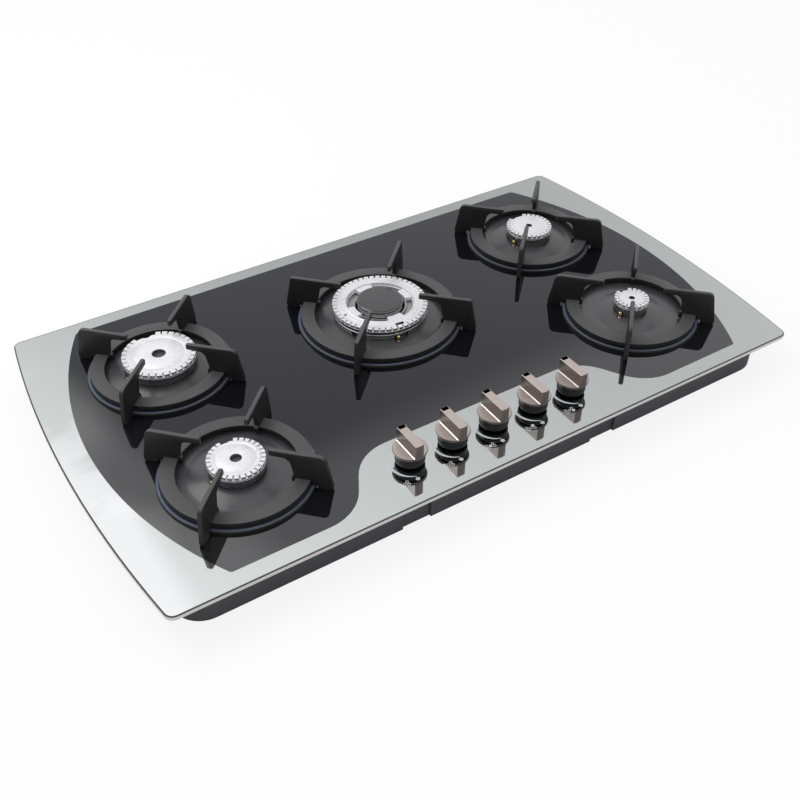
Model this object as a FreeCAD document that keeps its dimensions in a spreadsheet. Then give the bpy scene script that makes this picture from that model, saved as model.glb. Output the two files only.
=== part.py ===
import FreeCAD, Part
import math
import os
import Sketcher

# Five-burner gas cooktop with a glass top, all lengths in millimetres.
# Frame: origin on the underside of the steel box, at its middle; +X to the
# right, +Y to the rear, +Z up. The knobs are at the front.

doc = FreeCAD.newDocument("GasCooktop")
sheet = doc.addObject("Spreadsheet::Sheet", "Sizes")

SIZES = {
    # glass top
    "glass_width": 900, "glass_depth": 515, "glass_thickness": 6,
    "glass_side_radius": 1605, "glass_corner_radius": 11, "glass_arris": 0.8,
    # steel box under the glass
    "box_width": 824, "box_depth": 481, "box_height": 44, "box_corner_radius": 35,
    "box_sheet": 1, "box_flange": 7,
    "recess_pitch": 269.5, "recess_width": 37, "recess_depth": 3,
    "bracket_pitch_x": 620, "bracket_pitch_y": 420, "bracket_hole_radius": 2.2,
    "vent_length": 60, "vent_width": 5, "vent_pitch": 14, "vent_count": 6, "vent_side_x": 170,
    "seal_gap": 1, "seal_width": 6, "seal_thickness": 3,
    # burner places
    "side_burner_x": 287.5, "rear_burner_y": 108, "front_burner_y": 112, "middle_burner_y": 57,
    # rails that carry the burner cups
    "rail_width": 40, "rail_height": 12, "rail_sheet": 1.2, "rail_length": 700, "middle_rail_length": 120,
    # burner cups
    "cup_step": 2, "cup_wall": 3, "cup_floor": 3, "cup_depth_under_glass": 4, "middle_cup_step": 5,
    "post_radius": 15, "post_bore": 12.3, "post_top": 19, "seat_flats": 24,
    "tab_width": 10, "tab_thickness": 4, "tab_reach": 5,
    # drip trays
    "tray_radius_side": 90, "tray_radius_middle": 109, "tray_rim": 3.2, "tray_rim_width": 3,
    "tray_floor": 1.6, "tray_boss_height": 6.5, "tray_boss_foot": 12.5, "tray_boss_bevel": 4.5,
    "tray_clearance": 0.5, "tray_flats": 36,
    # burner heads
    "head_radius_rear_left": 45, "head_radius_front_left": 32.5, "head_radius_rear_right": 32.5,
    "head_radius_front_right": 22.5, "head_radius_middle": 62.5,
    "head_bore_rear_left": 8.5, "head_bore_front_left": 6.5, "head_bore_rear_right": 4.5,
    "head_bore_front_right": 4,
    "head_seat": 12, "head_top": 24.5, "head_bevel": 2.2, "spigot_depth": 9, "spigot_gap": 0.3,
    "port_count": 20, "small_port_count": 16, "port_depth": 1.5, "port_inset": 3.6, "port_share": 0.6,
    "bore_flats": 12,
    "middle_head_top": 25.5, "middle_head_bevel": 2.6, "middle_port_count": 32, "ridge_radius": 48,
    "web_top": 21, "web_thickness": 5, "web_inner_radius": 32.5, "window_inner": 37, "window_outer": 46,
    "window_angle": 54,
    "crown_radius": 29.5, "crown_top": 24.5, "crown_bevel": 1.4, "crown_port_count": 12,
    "crown_spigot_radius": 12, "crown_spigot_depth": 9,
    "cap_radius": 30.5, "cap_thickness": 5, "cap_edge": 2, "cap_flats": 36,
    # spark electrodes and thermocouples
    "probe_reach": 2.5, "probe_notch": 6, "electrode_radius": 3, "electrode_tip_radius": 0.9,
    "electrode_shoulder": 9, "electrode_top": 15, "electrode_angle": 90, "probe_flats": 8,
    "thermocouple_radius": 2.2, "thermocouple_top": 14,
    "thermocouple_angle_side": 195, "thermocouple_angle_middle": 260,
    # pan supports
    "support_gap": 5, "support_ring_width": 17.5, "support_ring_top": 11, "support_ring_thickness": 7,
    "support_ring_flats": 40,
    "support_top": 46, "arm_underside": 37.5, "arm_thickness": 5.5, "support_turn": 45,
    "arm_tip_side": 38, "arm_tip_middle": 52, "arm_throat": 5, "arm_crest": 11, "arm_shoulder": 13,
    "arm_shoulder_drop": 3, "arm_heel": 20, "arm_heel_height": 4, "arm_foot_width": 9.5, "arm_foot_inset": 1.5,
    "arm_clearance": 1.8,
    # knobs
    "knob_pitch": 58, "knob_row_y": 196, "knob_radius": 20, "knob_disc_top": 20, "knob_disc_thickness": 3.5,
    "bar_width": 10.8, "bar_top": 38, "pointer_width": 8, "pointer_length": 5.2,
    "skirt_radius": 17.5, "skirt_gap": 3, "push_travel": 2.5,
    "stem_radius": 4, "stem_flat": 3, "stem_flat_length": 14, "stem_reach": 8, "stem_fit": 0.02,
    "knob_hole_radius": 7, "knob_flats": 24, "small_flats": 12,
    # taps under the knobs
    "tap_width": 22, "tap_depth": 35, "tap_foot": 10, "tap_top": 34, "tap_roof": 4, "tap_floor": 4,
    "plug_radius": 6.9, "plug_gap": 0.05, "plug_end_gap": 0.2, "plug_hole_floor": 8, "plug_flats": 16,
    "roof_gap": 0.3, "outlet_radius": 6, "outlet_length": 8, "gas_level": 20,
    "screw_head": 3.5, "screw_head_height": 3, "screw_setback": 6,
    # gas way
    "manifold_radius": 7, "manifold_elbow": 16, "manifold_overhang": 30, "manifold_flats": 12,
    "pipe_radius": 4, "pipe_elbow": 10, "pipe_flats": 8, "injector_radius": 5.5, "injector_length": 12,
    "body_radius_rear_left": 34, "body_radius_front_left": 26, "body_radius_rear_right": 26,
    "body_radius_front_right": 20, "body_radius_middle": 44,
    "inlet_x": 372, "inlet_y": 200, "inlet_block": 26, "inlet_thread_radius": 10.48, "inlet_length": 14,
    "inlet_set_up": 2, "inlet_opening_radius": 24,
    # ignition module
    "module_length": 62, "module_width": 34, "module_height": 22, "module_x": 215, "module_y": 200,
    "terminal_size": 5, "terminal_height": 6, "terminal_pitch": 10, "terminal_count": 5,
}

for row, (word, number) in enumerate(SIZES.items(), start=1):
    sheet.set(f"A{row}", word)
    sheet.set(f"B{row}", str(number))
    sheet.setAlias(f"B{row}", word)
doc.recompute()


class Size:
    """A length, angle or count: its number now, and the sheet formula that it follows."""

    def __init__(self, number, formula=None):
        self.number = number
        self.formula = formula if formula else repr(number)

    def joined(self, sign, other, number):
        return Size(number, f"({self.formula} {sign} {other.formula})")

    def __add__(self, other):
        other = as_size(other)
        return self.joined("+", other, self.number + other.number)

    def __sub__(self, other):
        other = as_size(other)
        return self.joined("-", other, self.number - other.number)

    def __mul__(self, other):
        other = as_size(other)
        return self.joined("*", other, self.number * other.number)

    def __truediv__(self, other):
        other = as_size(other)
        return self.joined("/", other, self.number / other.number)

    def __radd__(self, other):
        return as_size(other) + self

    def __rsub__(self, other):
        return as_size(other) - self

    def __rmul__(self, other):
        return as_size(other) * self

    def __rtruediv__(self, other):
        return as_size(other) / self

    def __neg__(self):
        return as_size(0) - self


def as_size(value):
    return value if isinstance(value, Size) else Size(value)


def cosine(angle):
    return Size(math.cos(math.radians(angle.number)), f"cos({angle.formula})")


def sine(angle):
    return Size(math.sin(math.radians(angle.number)), f"sin({angle.formula})")


def root(value):
    return Size(math.sqrt(value.number), f"sqrt({value.formula})")


class SizeBook:
    """Gives each alias of the sheet as a Size, so that S.box_width reads as a word."""

    def __getattr__(self, word):
        return Size(float(sheet.get(word)), f"Sizes.{word}")


S = SizeBook()

# ---------------------------------------------------------------- helpers


def bind(thing, path, size):
    thing.setExpression(path, as_size(size).formula)


def new_sketch(body, name, plane, height=None):
    """A sketch on one of the body's own origin planes, lifted by height where given."""
    sketch = body.newObject("Sketcher::SketchObject", name)
    support = [feature for feature in body.Origin.OriginFeatures if feature.Role == plane][0]
    sketch.AttachmentSupport = (support, "")
    sketch.MapMode = "FlatFace"
    if height is not None:
        bind(sketch, "AttachmentOffset.Base.z", height)
    return sketch


def fix_point(sketch, geometry, corner, across, along):
    """Hold a point at two signed distances from the sketch's origin."""
    for kind, distance, axis in (("DistanceX", across, -2), ("DistanceY", along, -1)):
        distance = as_size(distance)
        if distance.number == 0:
            sketch.addConstraint(Sketcher.Constraint("PointOnObject", geometry, corner, axis))
        else:
            index = sketch.addConstraint(Sketcher.Constraint(kind, -1, 1, geometry, corner, distance.number))
            bind(sketch, f"Constraints[{index}]", distance)


def outline(sketch, points):
    """A closed outline of straight lines through points given as pairs of sizes."""
    places = [FreeCAD.Vector(as_size(x).number, as_size(y).number, 0) for x, y in points]
    first = sketch.GeometryCount
    count = len(places)
    for index, place in enumerate(places):
        sketch.addGeometry(Part.LineSegment(place, places[(index + 1) % count]), False)
    for index in range(count):
        following = first + (index + 1) % count
        sketch.addConstraint(Sketcher.Constraint("Coincident", first + index, 2, following, 1))
    for index, (across, along) in enumerate(points):
        fix_point(sketch, first + index, 1, across, along)


def rounded_outline(sketch, points, radius, rounded):
    """An anticlockwise outline along X and Y whose numbered points become arcs of one radius."""
    corners = []
    count = len(points)
    for index, (x, y) in enumerate(points):
        before_x, before_y = points[index - 1]
        after_x, after_y = points[(index + 1) % count]
        if index not in rounded:
            corners.append(((x, y), (x, y), None))
            continue
        arrives = (sign(x - before_x), sign(y - before_y))
        leaves = (sign(after_x - x), sign(after_y - y))
        start = (x - radius * arrives[0], y - radius * arrives[1])
        end = (x + radius * leaves[0], y + radius * leaves[1])
        centre = (start[0] + radius * leaves[0], start[1] + radius * leaves[1])
        corners.append((start, end, centre))
    chain = []
    for index, (start, end, centre) in enumerate(corners):
        if centre is not None:
            middle = FreeCAD.Vector(centre[0].number, centre[1].number, 0)
            first = math.atan2(start[1].number - middle.y, start[0].number - middle.x)
            base = Part.Circle(middle, FreeCAD.Vector(0, 0, 1), radius.number)
            arc = sketch.addGeometry(Part.ArcOfCircle(base, first, first + math.pi / 2), False)
            held = sketch.addConstraint(Sketcher.Constraint("Radius", arc, radius.number))
            bind(sketch, f"Constraints[{held}]", radius)
            chain.append(arc)
        following = corners[(index + 1) % count][0]
        line = Part.LineSegment(FreeCAD.Vector(end[0].number, end[1].number, 0),
                                FreeCAD.Vector(following[0].number, following[1].number, 0))
        side = sketch.addGeometry(line, False)
        chain.append(side)
    for index, geometry in enumerate(chain):
        sketch.addConstraint(Sketcher.Constraint("Coincident", geometry, 2, chain[(index + 1) % len(chain)], 1))
    position = 0
    for start, end, centre in corners:
        if centre is not None:
            fix_point(sketch, chain[position], 1, *start)
            position += 1
        fix_point(sketch, chain[position], 1, *end)
        position += 1


def sign(size):
    """Minus one, nought or one, from the number that a size has now."""
    if abs(size.number) < 1e-9:
        return 0
    return 1 if size.number > 0 else -1


def rounded_rectangle(sketch, half_x, half_y, radius):
    points = [(-half_x, -half_y), (half_x, -half_y), (half_x, half_y), (-half_x, half_y)]
    rounded_outline(sketch, points, radius, range(4))


def circle(sketch, across, along, radius):
    centre = FreeCAD.Vector(as_size(across).number, as_size(along).number, 0)
    shape = Part.Circle(centre, FreeCAD.Vector(0, 0, 1), radius.number)
    index = sketch.addGeometry(shape, False)
    fix_point(sketch, index, 3, across, along)
    held = sketch.addConstraint(Sketcher.Constraint("Radius", index, radius.number))
    bind(sketch, f"Constraints[{held}]", radius)


def rectangle(sketch, low_x, low_y, high_x, high_y):
    outline(sketch, [(low_x, low_y), (high_x, low_y), (high_x, high_y), (low_x, high_y)])


def new_body(name):
    return doc.addObject("PartDesign::Body", name)


def pad(body, sketch, length):
    feature = body.newObject("PartDesign::Pad", sketch.Name + "_pad")
    feature.Profile = sketch
    bind(feature, "Length", length)
    doc.recompute()
    return feature


def pad_both_ways(body, sketch, length):
    feature = body.newObject("PartDesign::Pad", sketch.Name + "_pad")
    feature.Profile = sketch
    feature.SideType = "Symmetric"
    bind(feature, "Length", length)
    doc.recompute()
    return feature


def pocket(body, sketch, depth):
    """Cut down from the sketch's plane, and make sure that something was cut."""
    before = body.Shape.Volume
    feature = body.newObject("PartDesign::Pocket", sketch.Name + "_pocket")
    feature.Profile = sketch
    bind(feature, "Length", depth)
    doc.recompute()
    if not body.Shape.Volume < before:
        raise ValueError(sketch.Name + " cuts nothing")
    return feature


def turn(body, sketch):
    feature = body.newObject("PartDesign::Revolution", sketch.Name + "_turn")
    feature.Profile = sketch
    feature.ReferenceAxis = (sketch, ["V_Axis"])
    feature.Angle = 360
    doc.recompute()
    return feature


def turned(name, points):
    """A body of revolution about Z from an outline of radius and height pairs."""
    body = new_body(name)
    sketch = new_sketch(body, name + "_profile", "XZ_Plane")
    outline(sketch, points)
    turn(body, sketch)
    return body


def round_pattern(body, feature, sketch, count):
    pattern = body.newObject("PartDesign::PolarPattern", feature.Name + "_round")
    pattern.Originals = [feature]
    pattern.Axis = (sketch, ["N_Axis"])
    pattern.Angle = 360
    bind(pattern, "Occurrences", count)
    body.Tip = pattern
    doc.recompute()
    return pattern


def edges_where(shape, test):
    return [f"Edge{index}" for index, edge in enumerate(shape.Edges, start=1) if test(edge)]


def round_corners(body, half_width, half_depth, radius):
    """Round the upright edges that stand at the four corners of a rectangle."""
    base = body.Tip

    def at_corner(edge):
        middle = edge.CenterOfMass
        near_x = abs(abs(middle.x) - half_width.number) < 1e-4
        near_y = abs(abs(middle.y) - half_depth.number) < 1e-4
        return near_x and near_y and edge.BoundBox.ZLength > 0.1

    feature = body.newObject("PartDesign::Fillet", base.Name + "_corners")
    feature.Base = (base, edges_where(base.Shape, at_corner))
    bind(feature, "Radius", radius)
    doc.recompute()
    return feature


def prism(body, name, radius, low, high, flats, across=0, along=0, plane="XY_Plane", cut=False):
    """A round form with a number of flats, one of them facing along the plane's first axis."""
    before = body.Shape.Volume if cut else 0
    kind = "PartDesign::SubtractivePrism" if cut else "PartDesign::AdditivePrism"
    feature = body.newObject(kind, name)
    support = [item for item in body.Origin.OriginFeatures if item.Role == plane][0]
    feature.AttachmentSupport = (support, "")
    feature.MapMode = "FlatFace"
    spin = FreeCAD.Rotation(FreeCAD.Vector(0, 0, 1), 1)
    feature.AttachmentOffset = FreeCAD.Placement(FreeCAD.Vector(), spin)
    bind(feature, "Polygon", flats)
    bind(feature, "Circumradius", radius)
    bind(feature, "Height", high - low)
    bind(feature, "AttachmentOffset.Rotation.Angle", 180 / flats)
    bind(feature, "AttachmentOffset.Base.x", across)
    bind(feature, "AttachmentOffset.Base.y", along)
    bind(feature, "AttachmentOffset.Base.z", low)
    feature.Refine = not cut
    doc.recompute()
    if cut and not body.Shape.Volume < before:
        raise ValueError(name + " cuts nothing")
    return feature


def bevel(body, top, beyond, size):
    """Bevel the edges at one level that lie beyond a distance from the axis."""
    base = body.Tip

    def is_top_rim(edge):
        middle = edge.CenterOfMass
        level = abs(middle.z - top.number) < 1e-4 and edge.BoundBox.ZLength < 1e-4
        return level and math.hypot(middle.x, middle.y) > beyond.number

    feature = body.newObject("PartDesign::Chamfer", base.Name + "_bevel")
    feature.Base = (base, edges_where(base.Shape, is_top_rim))
    bind(feature, "Size", size)
    doc.recompute()
    return feature


def place(thing, across=0, along=0, up=0, angle=None):
    if angle is not None:
        thing.Placement = FreeCAD.Placement(FreeCAD.Vector(), FreeCAD.Rotation(FreeCAD.Vector(0, 0, 1), 1))
        bind(thing, "Placement.Rotation.Angle", angle)
    bind(thing, "Placement.Base.x", across)
    bind(thing, "Placement.Base.y", along)
    bind(thing, "Placement.Base.z", up)


def group(name, members):
    """Separate solids that share one node."""
    compound = doc.addObject("Part::Compound", name)
    compound.Links = members
    nodes.append(compound)


nodes = []

# ------------------------------------------------------------- main levels

glass_top = S.box_height + S.glass_thickness
rail_top = S.box_sheet + S.rail_height
seat_level = glass_top + S.head_seat

# place of each burner in X and Y, and the side of it that its gas comes from
BURNERS = {
    "rear_left": (-S.side_burner_x, S.rear_burner_y, 0),
    "front_left": (-S.side_burner_x, -S.front_burner_y, 0),
    "middle": (as_size(0), S.middle_burner_y, -90),
    "rear_right": (S.side_burner_x, S.rear_burner_y, 180),
    "front_right": (S.side_burner_x, -S.front_burner_y, 180),
}


def burner_size(stem, name):
    return getattr(S, f"{stem}_{name}")


def is_middle(name):
    return name == "middle"


def cup_radius(name):
    step = S.middle_cup_step if is_middle(name) else S.cup_step
    return burner_size("head_radius", name) - step


def tray_radius(name):
    return S.tray_radius_middle if is_middle(name) else S.tray_radius_side


def probe_radius(name):
    """Distance of the electrode and the thermocouple from the burner's axis."""
    return burner_size("head_radius", name) + S.probe_reach


def glass_hole_radius(name):
    return probe_radius(name) + S.electrode_radius + S.tray_clearance


def probe_angles(name):
    """Where round the burner its electrode and its thermocouple stand."""
    return S.electrode_angle, S.thermocouple_angle_middle if is_middle(name) else S.thermocouple_angle_side


def port_count(name):
    """Flame ports of a burner, the smallest one having fewer."""
    counts = {"middle": S.middle_port_count, "front_right": S.small_port_count}
    return counts.get(name, S.port_count)


def tab_corners(near, far, width, angle):
    """Corners of a rectangle that runs outward from the axis at an angle."""
    corners = []
    for reach, side in ((near, -1), (far, -1), (far, 1), (near, 1)):
        aside = width / 2 * side
        corners.append((reach * cosine(angle) - aside * sine(angle), reach * sine(angle) + aside * cosine(angle)))
    return corners


def knob_places():
    middle = 2
    return [((index - middle) * S.knob_pitch, -S.knob_row_y) for index in range(5)]


# -------------------------------------------------------------- glass panel


def make_glass_panel():
    body = new_body("glass_panel")
    sketch = new_sketch(body, "glass_outline", "XY_Plane", S.box_height)
    half_depth = S.glass_depth / 2
    arc_centre = S.glass_width / 2 - S.glass_side_radius
    reach = root(S.glass_side_radius * S.glass_side_radius - half_depth * half_depth)
    corner_x = arc_centre + reach
    half_angle = math.asin(half_depth.number / S.glass_side_radius.number)
    x, y = corner_x.number, half_depth.number
    up = FreeCAD.Vector(0, 0, 1)
    right = Part.Circle(FreeCAD.Vector(arc_centre.number, 0, 0), up, S.glass_side_radius.number)
    left = Part.Circle(FreeCAD.Vector(-arc_centre.number, 0, 0), up, S.glass_side_radius.number)
    sketch.addGeometry(Part.LineSegment(FreeCAD.Vector(-x, -y, 0), FreeCAD.Vector(x, -y, 0)), False)
    sketch.addGeometry(Part.ArcOfCircle(right, -half_angle, half_angle), False)
    sketch.addGeometry(Part.LineSegment(FreeCAD.Vector(x, y, 0), FreeCAD.Vector(-x, y, 0)), False)
    sketch.addGeometry(Part.ArcOfCircle(left, math.pi - half_angle, math.pi + half_angle), False)
    for side in range(4):
        sketch.addConstraint(Sketcher.Constraint("Coincident", side, 2, (side + 1) % 4, 1))
    fix_point(sketch, 0, 1, -corner_x, -half_depth)
    fix_point(sketch, 0, 2, corner_x, -half_depth)
    fix_point(sketch, 2, 1, corner_x, half_depth)
    fix_point(sketch, 2, 2, -corner_x, half_depth)
    for side in (1, 3):
        held = sketch.addConstraint(Sketcher.Constraint("Radius", side, S.glass_side_radius.number))
        bind(sketch, f"Constraints[{held}]", S.glass_side_radius)
    pad(body, sketch, S.glass_thickness)
    round_corners(body, corner_x, half_depth, S.glass_corner_radius)
    rounded = body.Tip

    def is_rim(edge):
        flat = edge.BoundBox.ZLength < 1e-6
        return flat and not edge.isClosed()

    arris = body.newObject("PartDesign::Chamfer", "glass_arris_edge")
    arris.Base = (rounded, edges_where(rounded.Shape, is_rim))
    bind(arris, "Size", S.glass_arris)
    doc.recompute()
    for name, (across, along, _) in BURNERS.items():
        prism(body, f"glass_hole_{name}", glass_hole_radius(name), S.box_height, glass_top, S.seat_flats,
              across, along, cut=True)
    for number, (across, along) in enumerate(knob_places(), start=1):
        prism(body, f"glass_knob_hole_{number}", S.knob_hole_radius, S.box_height, glass_top, S.small_flats,
              across, along, cut=True)
    nodes.append(body)


# --------------------------------------------------------------- steel box


def box_outline(sketch, inset):
    """The box's plan, drawn inset by the sheet for its inside, with two shallow recesses front and rear."""
    half_width = S.box_width / 2 - inset
    half_depth = S.box_depth / 2 - inset
    near = S.recess_pitch / 2 - S.recess_width / 2 - inset
    far = S.recess_pitch / 2 + S.recess_width / 2 + inset
    floor = half_depth - S.recess_depth
    front = [(-half_width, -half_depth), (-far, -half_depth), (-far, -floor), (-near, -floor),
             (-near, -half_depth), (near, -half_depth), (near, -floor), (far, -floor),
             (far, -half_depth), (half_width, -half_depth)]
    rear = [(-across, -along) for across, along in front]
    points = front + rear
    first_of_rear = len(front)
    rounded_outline(sketch, points, S.box_corner_radius - inset,
                    (0, first_of_rear - 1, first_of_rear, len(points) - 1))


def make_bottom_box():
    body = new_body("bottom_box")
    walls = new_sketch(body, "box_outside", "XY_Plane")
    box_outline(walls, as_size(0))
    pad(body, walls, S.box_height)
    flange = new_sketch(body, "box_flange_outline", "XY_Plane", S.box_height - S.box_sheet)
    rounded_rectangle(flange, S.box_width / 2 + S.box_flange, S.box_depth / 2 + S.box_flange,
                      S.box_corner_radius + S.box_flange)
    pad(body, flange, S.box_sheet)
    inside = new_sketch(body, "box_inside", "XY_Plane", S.box_height)
    box_outline(inside, S.box_sheet)
    pocket(body, inside, S.box_height - S.box_sheet)
    holes = new_sketch(body, "box_floor_holes", "XY_Plane", S.box_sheet)
    for side in (-1, 1):
        for end in (-1, 1):
            circle(holes, S.bracket_pitch_x / 2 * side, S.bracket_pitch_y / 2 * end, S.bracket_hole_radius)
    circle(holes, S.inlet_x, S.inlet_y, S.inlet_opening_radius)
    pocket(body, holes, S.box_sheet)
    for side in (-1, 1):
        vents = new_sketch(body, "vent_left" if side < 0 else "vent_right", "XY_Plane", S.box_sheet)
        middle = S.vent_side_x * side
        rectangle(vents, middle - S.vent_length / 2, S.vent_pitch, middle + S.vent_length / 2,
                  S.vent_pitch + S.vent_width)
        slot = pocket(body, vents, S.box_sheet)
        row = body.newObject("PartDesign::LinearPattern", slot.Name + "_row")
        row.Originals = [slot]
        row.Direction = (vents, ["V_Axis"])
        row.Reversed = True
        bind(row, "Length", S.vent_pitch * (S.vent_count - 1))
        bind(row, "Occurrences", S.vent_count)
        body.Tip = row
        doc.recompute()
    nodes.append(body)


def make_seal():
    body = new_body("seal_gasket")
    sketch = new_sketch(body, "seal_outline", "XY_Plane", S.box_height - S.seal_thickness)
    inner_x = S.box_width / 2 + S.box_flange + S.seal_gap
    inner_y = S.box_depth / 2 + S.box_flange + S.seal_gap
    inner_corner = S.box_corner_radius + S.box_flange + S.seal_gap
    rounded_rectangle(sketch, inner_x, inner_y, inner_corner)
    rounded_rectangle(sketch, inner_x + S.seal_width, inner_y + S.seal_width, inner_corner + S.seal_width)
    pad(body, sketch, S.seal_thickness)
    nodes.append(body)


def make_rails():
    """Three channels, open below, that carry the burner cups."""
    rails = []
    plan = (("rear_rail", S.rear_burner_y, S.rail_length), ("front_rail", -S.front_burner_y, S.rail_length),
            ("middle_rail", S.middle_burner_y, S.middle_rail_length))
    for name, along, length in plan:
        body = new_body(name)
        sketch = new_sketch(body, name + "_section", "YZ_Plane")
        half = S.rail_width / 2
        skin = S.rail_sheet
        top = S.rail_height
        outline(sketch, [(-half, 0), (skin - half, 0), (skin - half, top - skin), (half - skin, top - skin),
                         (half - skin, 0), (half, 0), (half, top), (-half, top)])
        pad_both_ways(body, sketch, length)
        place(body, 0, along, S.box_sheet)
        rails.append(body)
    group("burner_rails", rails)


# ----------------------------------------------------------------- burners


def make_drip_trays():
    trays = []
    for name, (across, along, _) in BURNERS.items():
        hole = cup_radius(name) + S.tray_clearance
        rim = tray_radius(name)
        body = new_body(f"drip_tray_{name}")
        prism(body, f"tray_outside_{name}", rim, as_size(0), S.tray_rim, S.tray_flats)
        prism(body, f"tray_inside_{name}", rim - S.tray_rim_width, S.tray_floor, S.tray_rim, S.tray_flats, cut=True)
        prism(body, f"tray_boss_{name}", hole + S.tray_boss_foot, S.tray_floor, S.tray_boss_height, S.seat_flats)
        bevel(body, S.tray_boss_height, hole, S.tray_boss_bevel)
        prism(body, f"tray_hole_{name}", hole, as_size(0), S.tray_boss_height, S.seat_flats, cut=True)
        slots = new_sketch(body, f"tray_probe_slots_{name}", "XY_Plane", S.tray_boss_height)
        reach = probe_radius(name) + S.electrode_radius + S.tray_clearance
        width = (S.electrode_radius + S.tray_clearance) * 2
        for angle in probe_angles(name):
            outline(slots, tab_corners(hole - 2, reach, width, angle))
        pocket(body, slots, S.tray_boss_height)
        place(body, across, along, glass_top)
        trays.append(body)
    group("drip_trays", trays)


def make_burner_cups():
    """The cast cups: a mixing body on the rail, a bowl that rises through the glass and two tabs for the probes."""
    cups = []
    for name, (across, along, _) in BURNERS.items():
        outer = cup_radius(name)
        bowl_foot = S.box_height - S.cup_depth_under_glass
        bowl_floor = bowl_foot + S.cup_floor
        body = new_body(f"burner_cup_{name}")
        prism(body, f"mixing_body_{name}", burner_size("body_radius", name), rail_top, bowl_foot, S.small_flats)
        prism(body, f"bowl_outside_{name}", outer, bowl_foot, seat_level, S.seat_flats)
        prism(body, f"bowl_inside_{name}", outer - S.cup_wall, bowl_floor, seat_level, S.seat_flats, cut=True)
        if is_middle(name):
            post_foot = glass_top + S.post_top - S.crown_spigot_depth - 1
            prism(body, "bowl_post", S.post_radius, bowl_floor, glass_top + S.post_top, S.small_flats)
            prism(body, "bowl_post_bore", S.post_bore, post_foot, glass_top + S.post_top, S.small_flats, cut=True)
        tabs = new_sketch(body, f"cup_tabs_{name}", "XY_Plane", S.box_height - S.tab_thickness)
        for angle in probe_angles(name):
            outline(tabs, tab_corners(outer - 2, probe_radius(name) + S.tab_reach, S.tab_width, angle))
        pad(body, tabs, S.tab_thickness)
        place(body, across, along)
        cups.append(body)
    group("burner_cups", cups)


def cut_ports(body, name, radius, top, depth, inset, count):
    """Flame ports: radial slots through the bevelled rim, one cut and its pattern round the head."""
    sketch = new_sketch(body, f"port_{name}", "XY_Plane", top)
    width = radius * 2 * math.pi / count * S.port_share
    rectangle(sketch, radius - inset, -width / 2, radius + 1, width / 2)
    slot = pocket(body, sketch, depth)
    round_pattern(body, slot, sketch, count)


def cut_probe_notch(body, name, low, high):
    """The rounded bite in the rim that leaves room for the spark electrode."""
    reach = probe_radius(name)
    prism(body, f"probe_notch_{name}", S.probe_notch, low, high, S.small_flats, reach * cosine(S.electrode_angle),
          reach * sine(S.electrode_angle), cut=True)


def make_side_heads():
    """Bare cast heads of the four outer burners: a deck with a bore, a bevelled rim with ports and a spigot."""
    for name, (across, along, _) in BURNERS.items():
        if is_middle(name):
            continue
        radius = burner_size("head_radius", name)
        ports = port_count(name)
        foot = S.head_seat - S.spigot_depth
        body = new_body(f"burner_head_{name}")
        prism(body, f"head_rim_{name}", radius, S.head_seat, S.head_top, ports * 2)
        bevel(body, S.head_top, radius / 2, S.head_bevel)
        prism(body, f"head_spigot_{name}", cup_radius(name) - S.cup_wall - S.spigot_gap, foot, S.head_seat,
              S.seat_flats)
        prism(body, f"head_bore_{name}", burner_size("head_bore", name), foot, S.head_top, S.bore_flats, cut=True)
        cut_ports(body, name, radius, S.head_top, S.port_depth, S.port_inset, ports)
        cut_probe_notch(body, name, foot, S.head_top)
        place(body, across, along, glass_top)
        nodes.append(body)


def make_middle_head():
    """The large outer ring of the middle burner: ported rim, ridge, and a web with four windows."""
    name = "middle"
    radius = S.head_radius_middle
    ports = port_count(name)
    spigot = cup_radius(name) - S.cup_wall - S.spigot_gap
    foot = S.head_seat - S.spigot_depth
    web_foot = S.web_top - S.web_thickness
    body = new_body("burner_head_middle")
    prism(body, "middle_rim", radius, S.head_seat, S.middle_head_top, ports * 2)
    bevel(body, S.middle_head_top, radius / 2, S.middle_head_bevel)
    prism(body, "middle_spigot", spigot, foot, S.head_seat, S.seat_flats)
    prism(body, "middle_trough", S.ridge_radius, S.web_top, S.middle_head_top, ports, cut=True)
    prism(body, "middle_hollow", spigot - S.cup_wall, foot, web_foot, S.seat_flats, cut=True)
    prism(body, "middle_web_hole", S.web_inner_radius, web_foot, S.web_top, S.seat_flats, cut=True)
    cut_ports(body, name, radius, S.middle_head_top, S.port_depth, S.port_inset, ports)
    sketch = new_sketch(body, "head_window", "XY_Plane", S.web_top)
    half = S.window_angle / 2
    facing = as_size(45)
    corners = []
    for reach, side in ((S.window_inner, -1), (S.window_outer, -1), (S.window_outer, 1), (S.window_inner, 1)):
        angle = facing + half * side
        corners.append((reach * cosine(angle), reach * sine(angle)))
    outline(sketch, corners)
    window = pocket(body, sketch, S.web_thickness)
    round_pattern(body, window, sketch, as_size(4))
    across, along, _ = BURNERS[name]
    place(body, across, along, glass_top)
    nodes.append(body)


def make_inner_crown():
    """The small inner ring of the middle burner, which stands on the cup's post."""
    foot = S.post_top - S.crown_spigot_depth
    body = new_body("inner_crown_middle")
    prism(body, "crown_rim", S.crown_radius, S.post_top, S.crown_top, S.crown_port_count * 2)
    bevel(body, S.crown_top, S.crown_radius / 2, S.crown_bevel)
    prism(body, "crown_spigot", S.crown_spigot_radius, foot, S.post_top, S.small_flats)
    cut_ports(body, "inner_crown", S.crown_radius, S.crown_top - S.crown_bevel / 2, S.port_depth, S.port_inset / 2,
              S.crown_port_count)
    place(body, 0, S.middle_burner_y, glass_top)
    nodes.append(body)


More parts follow.
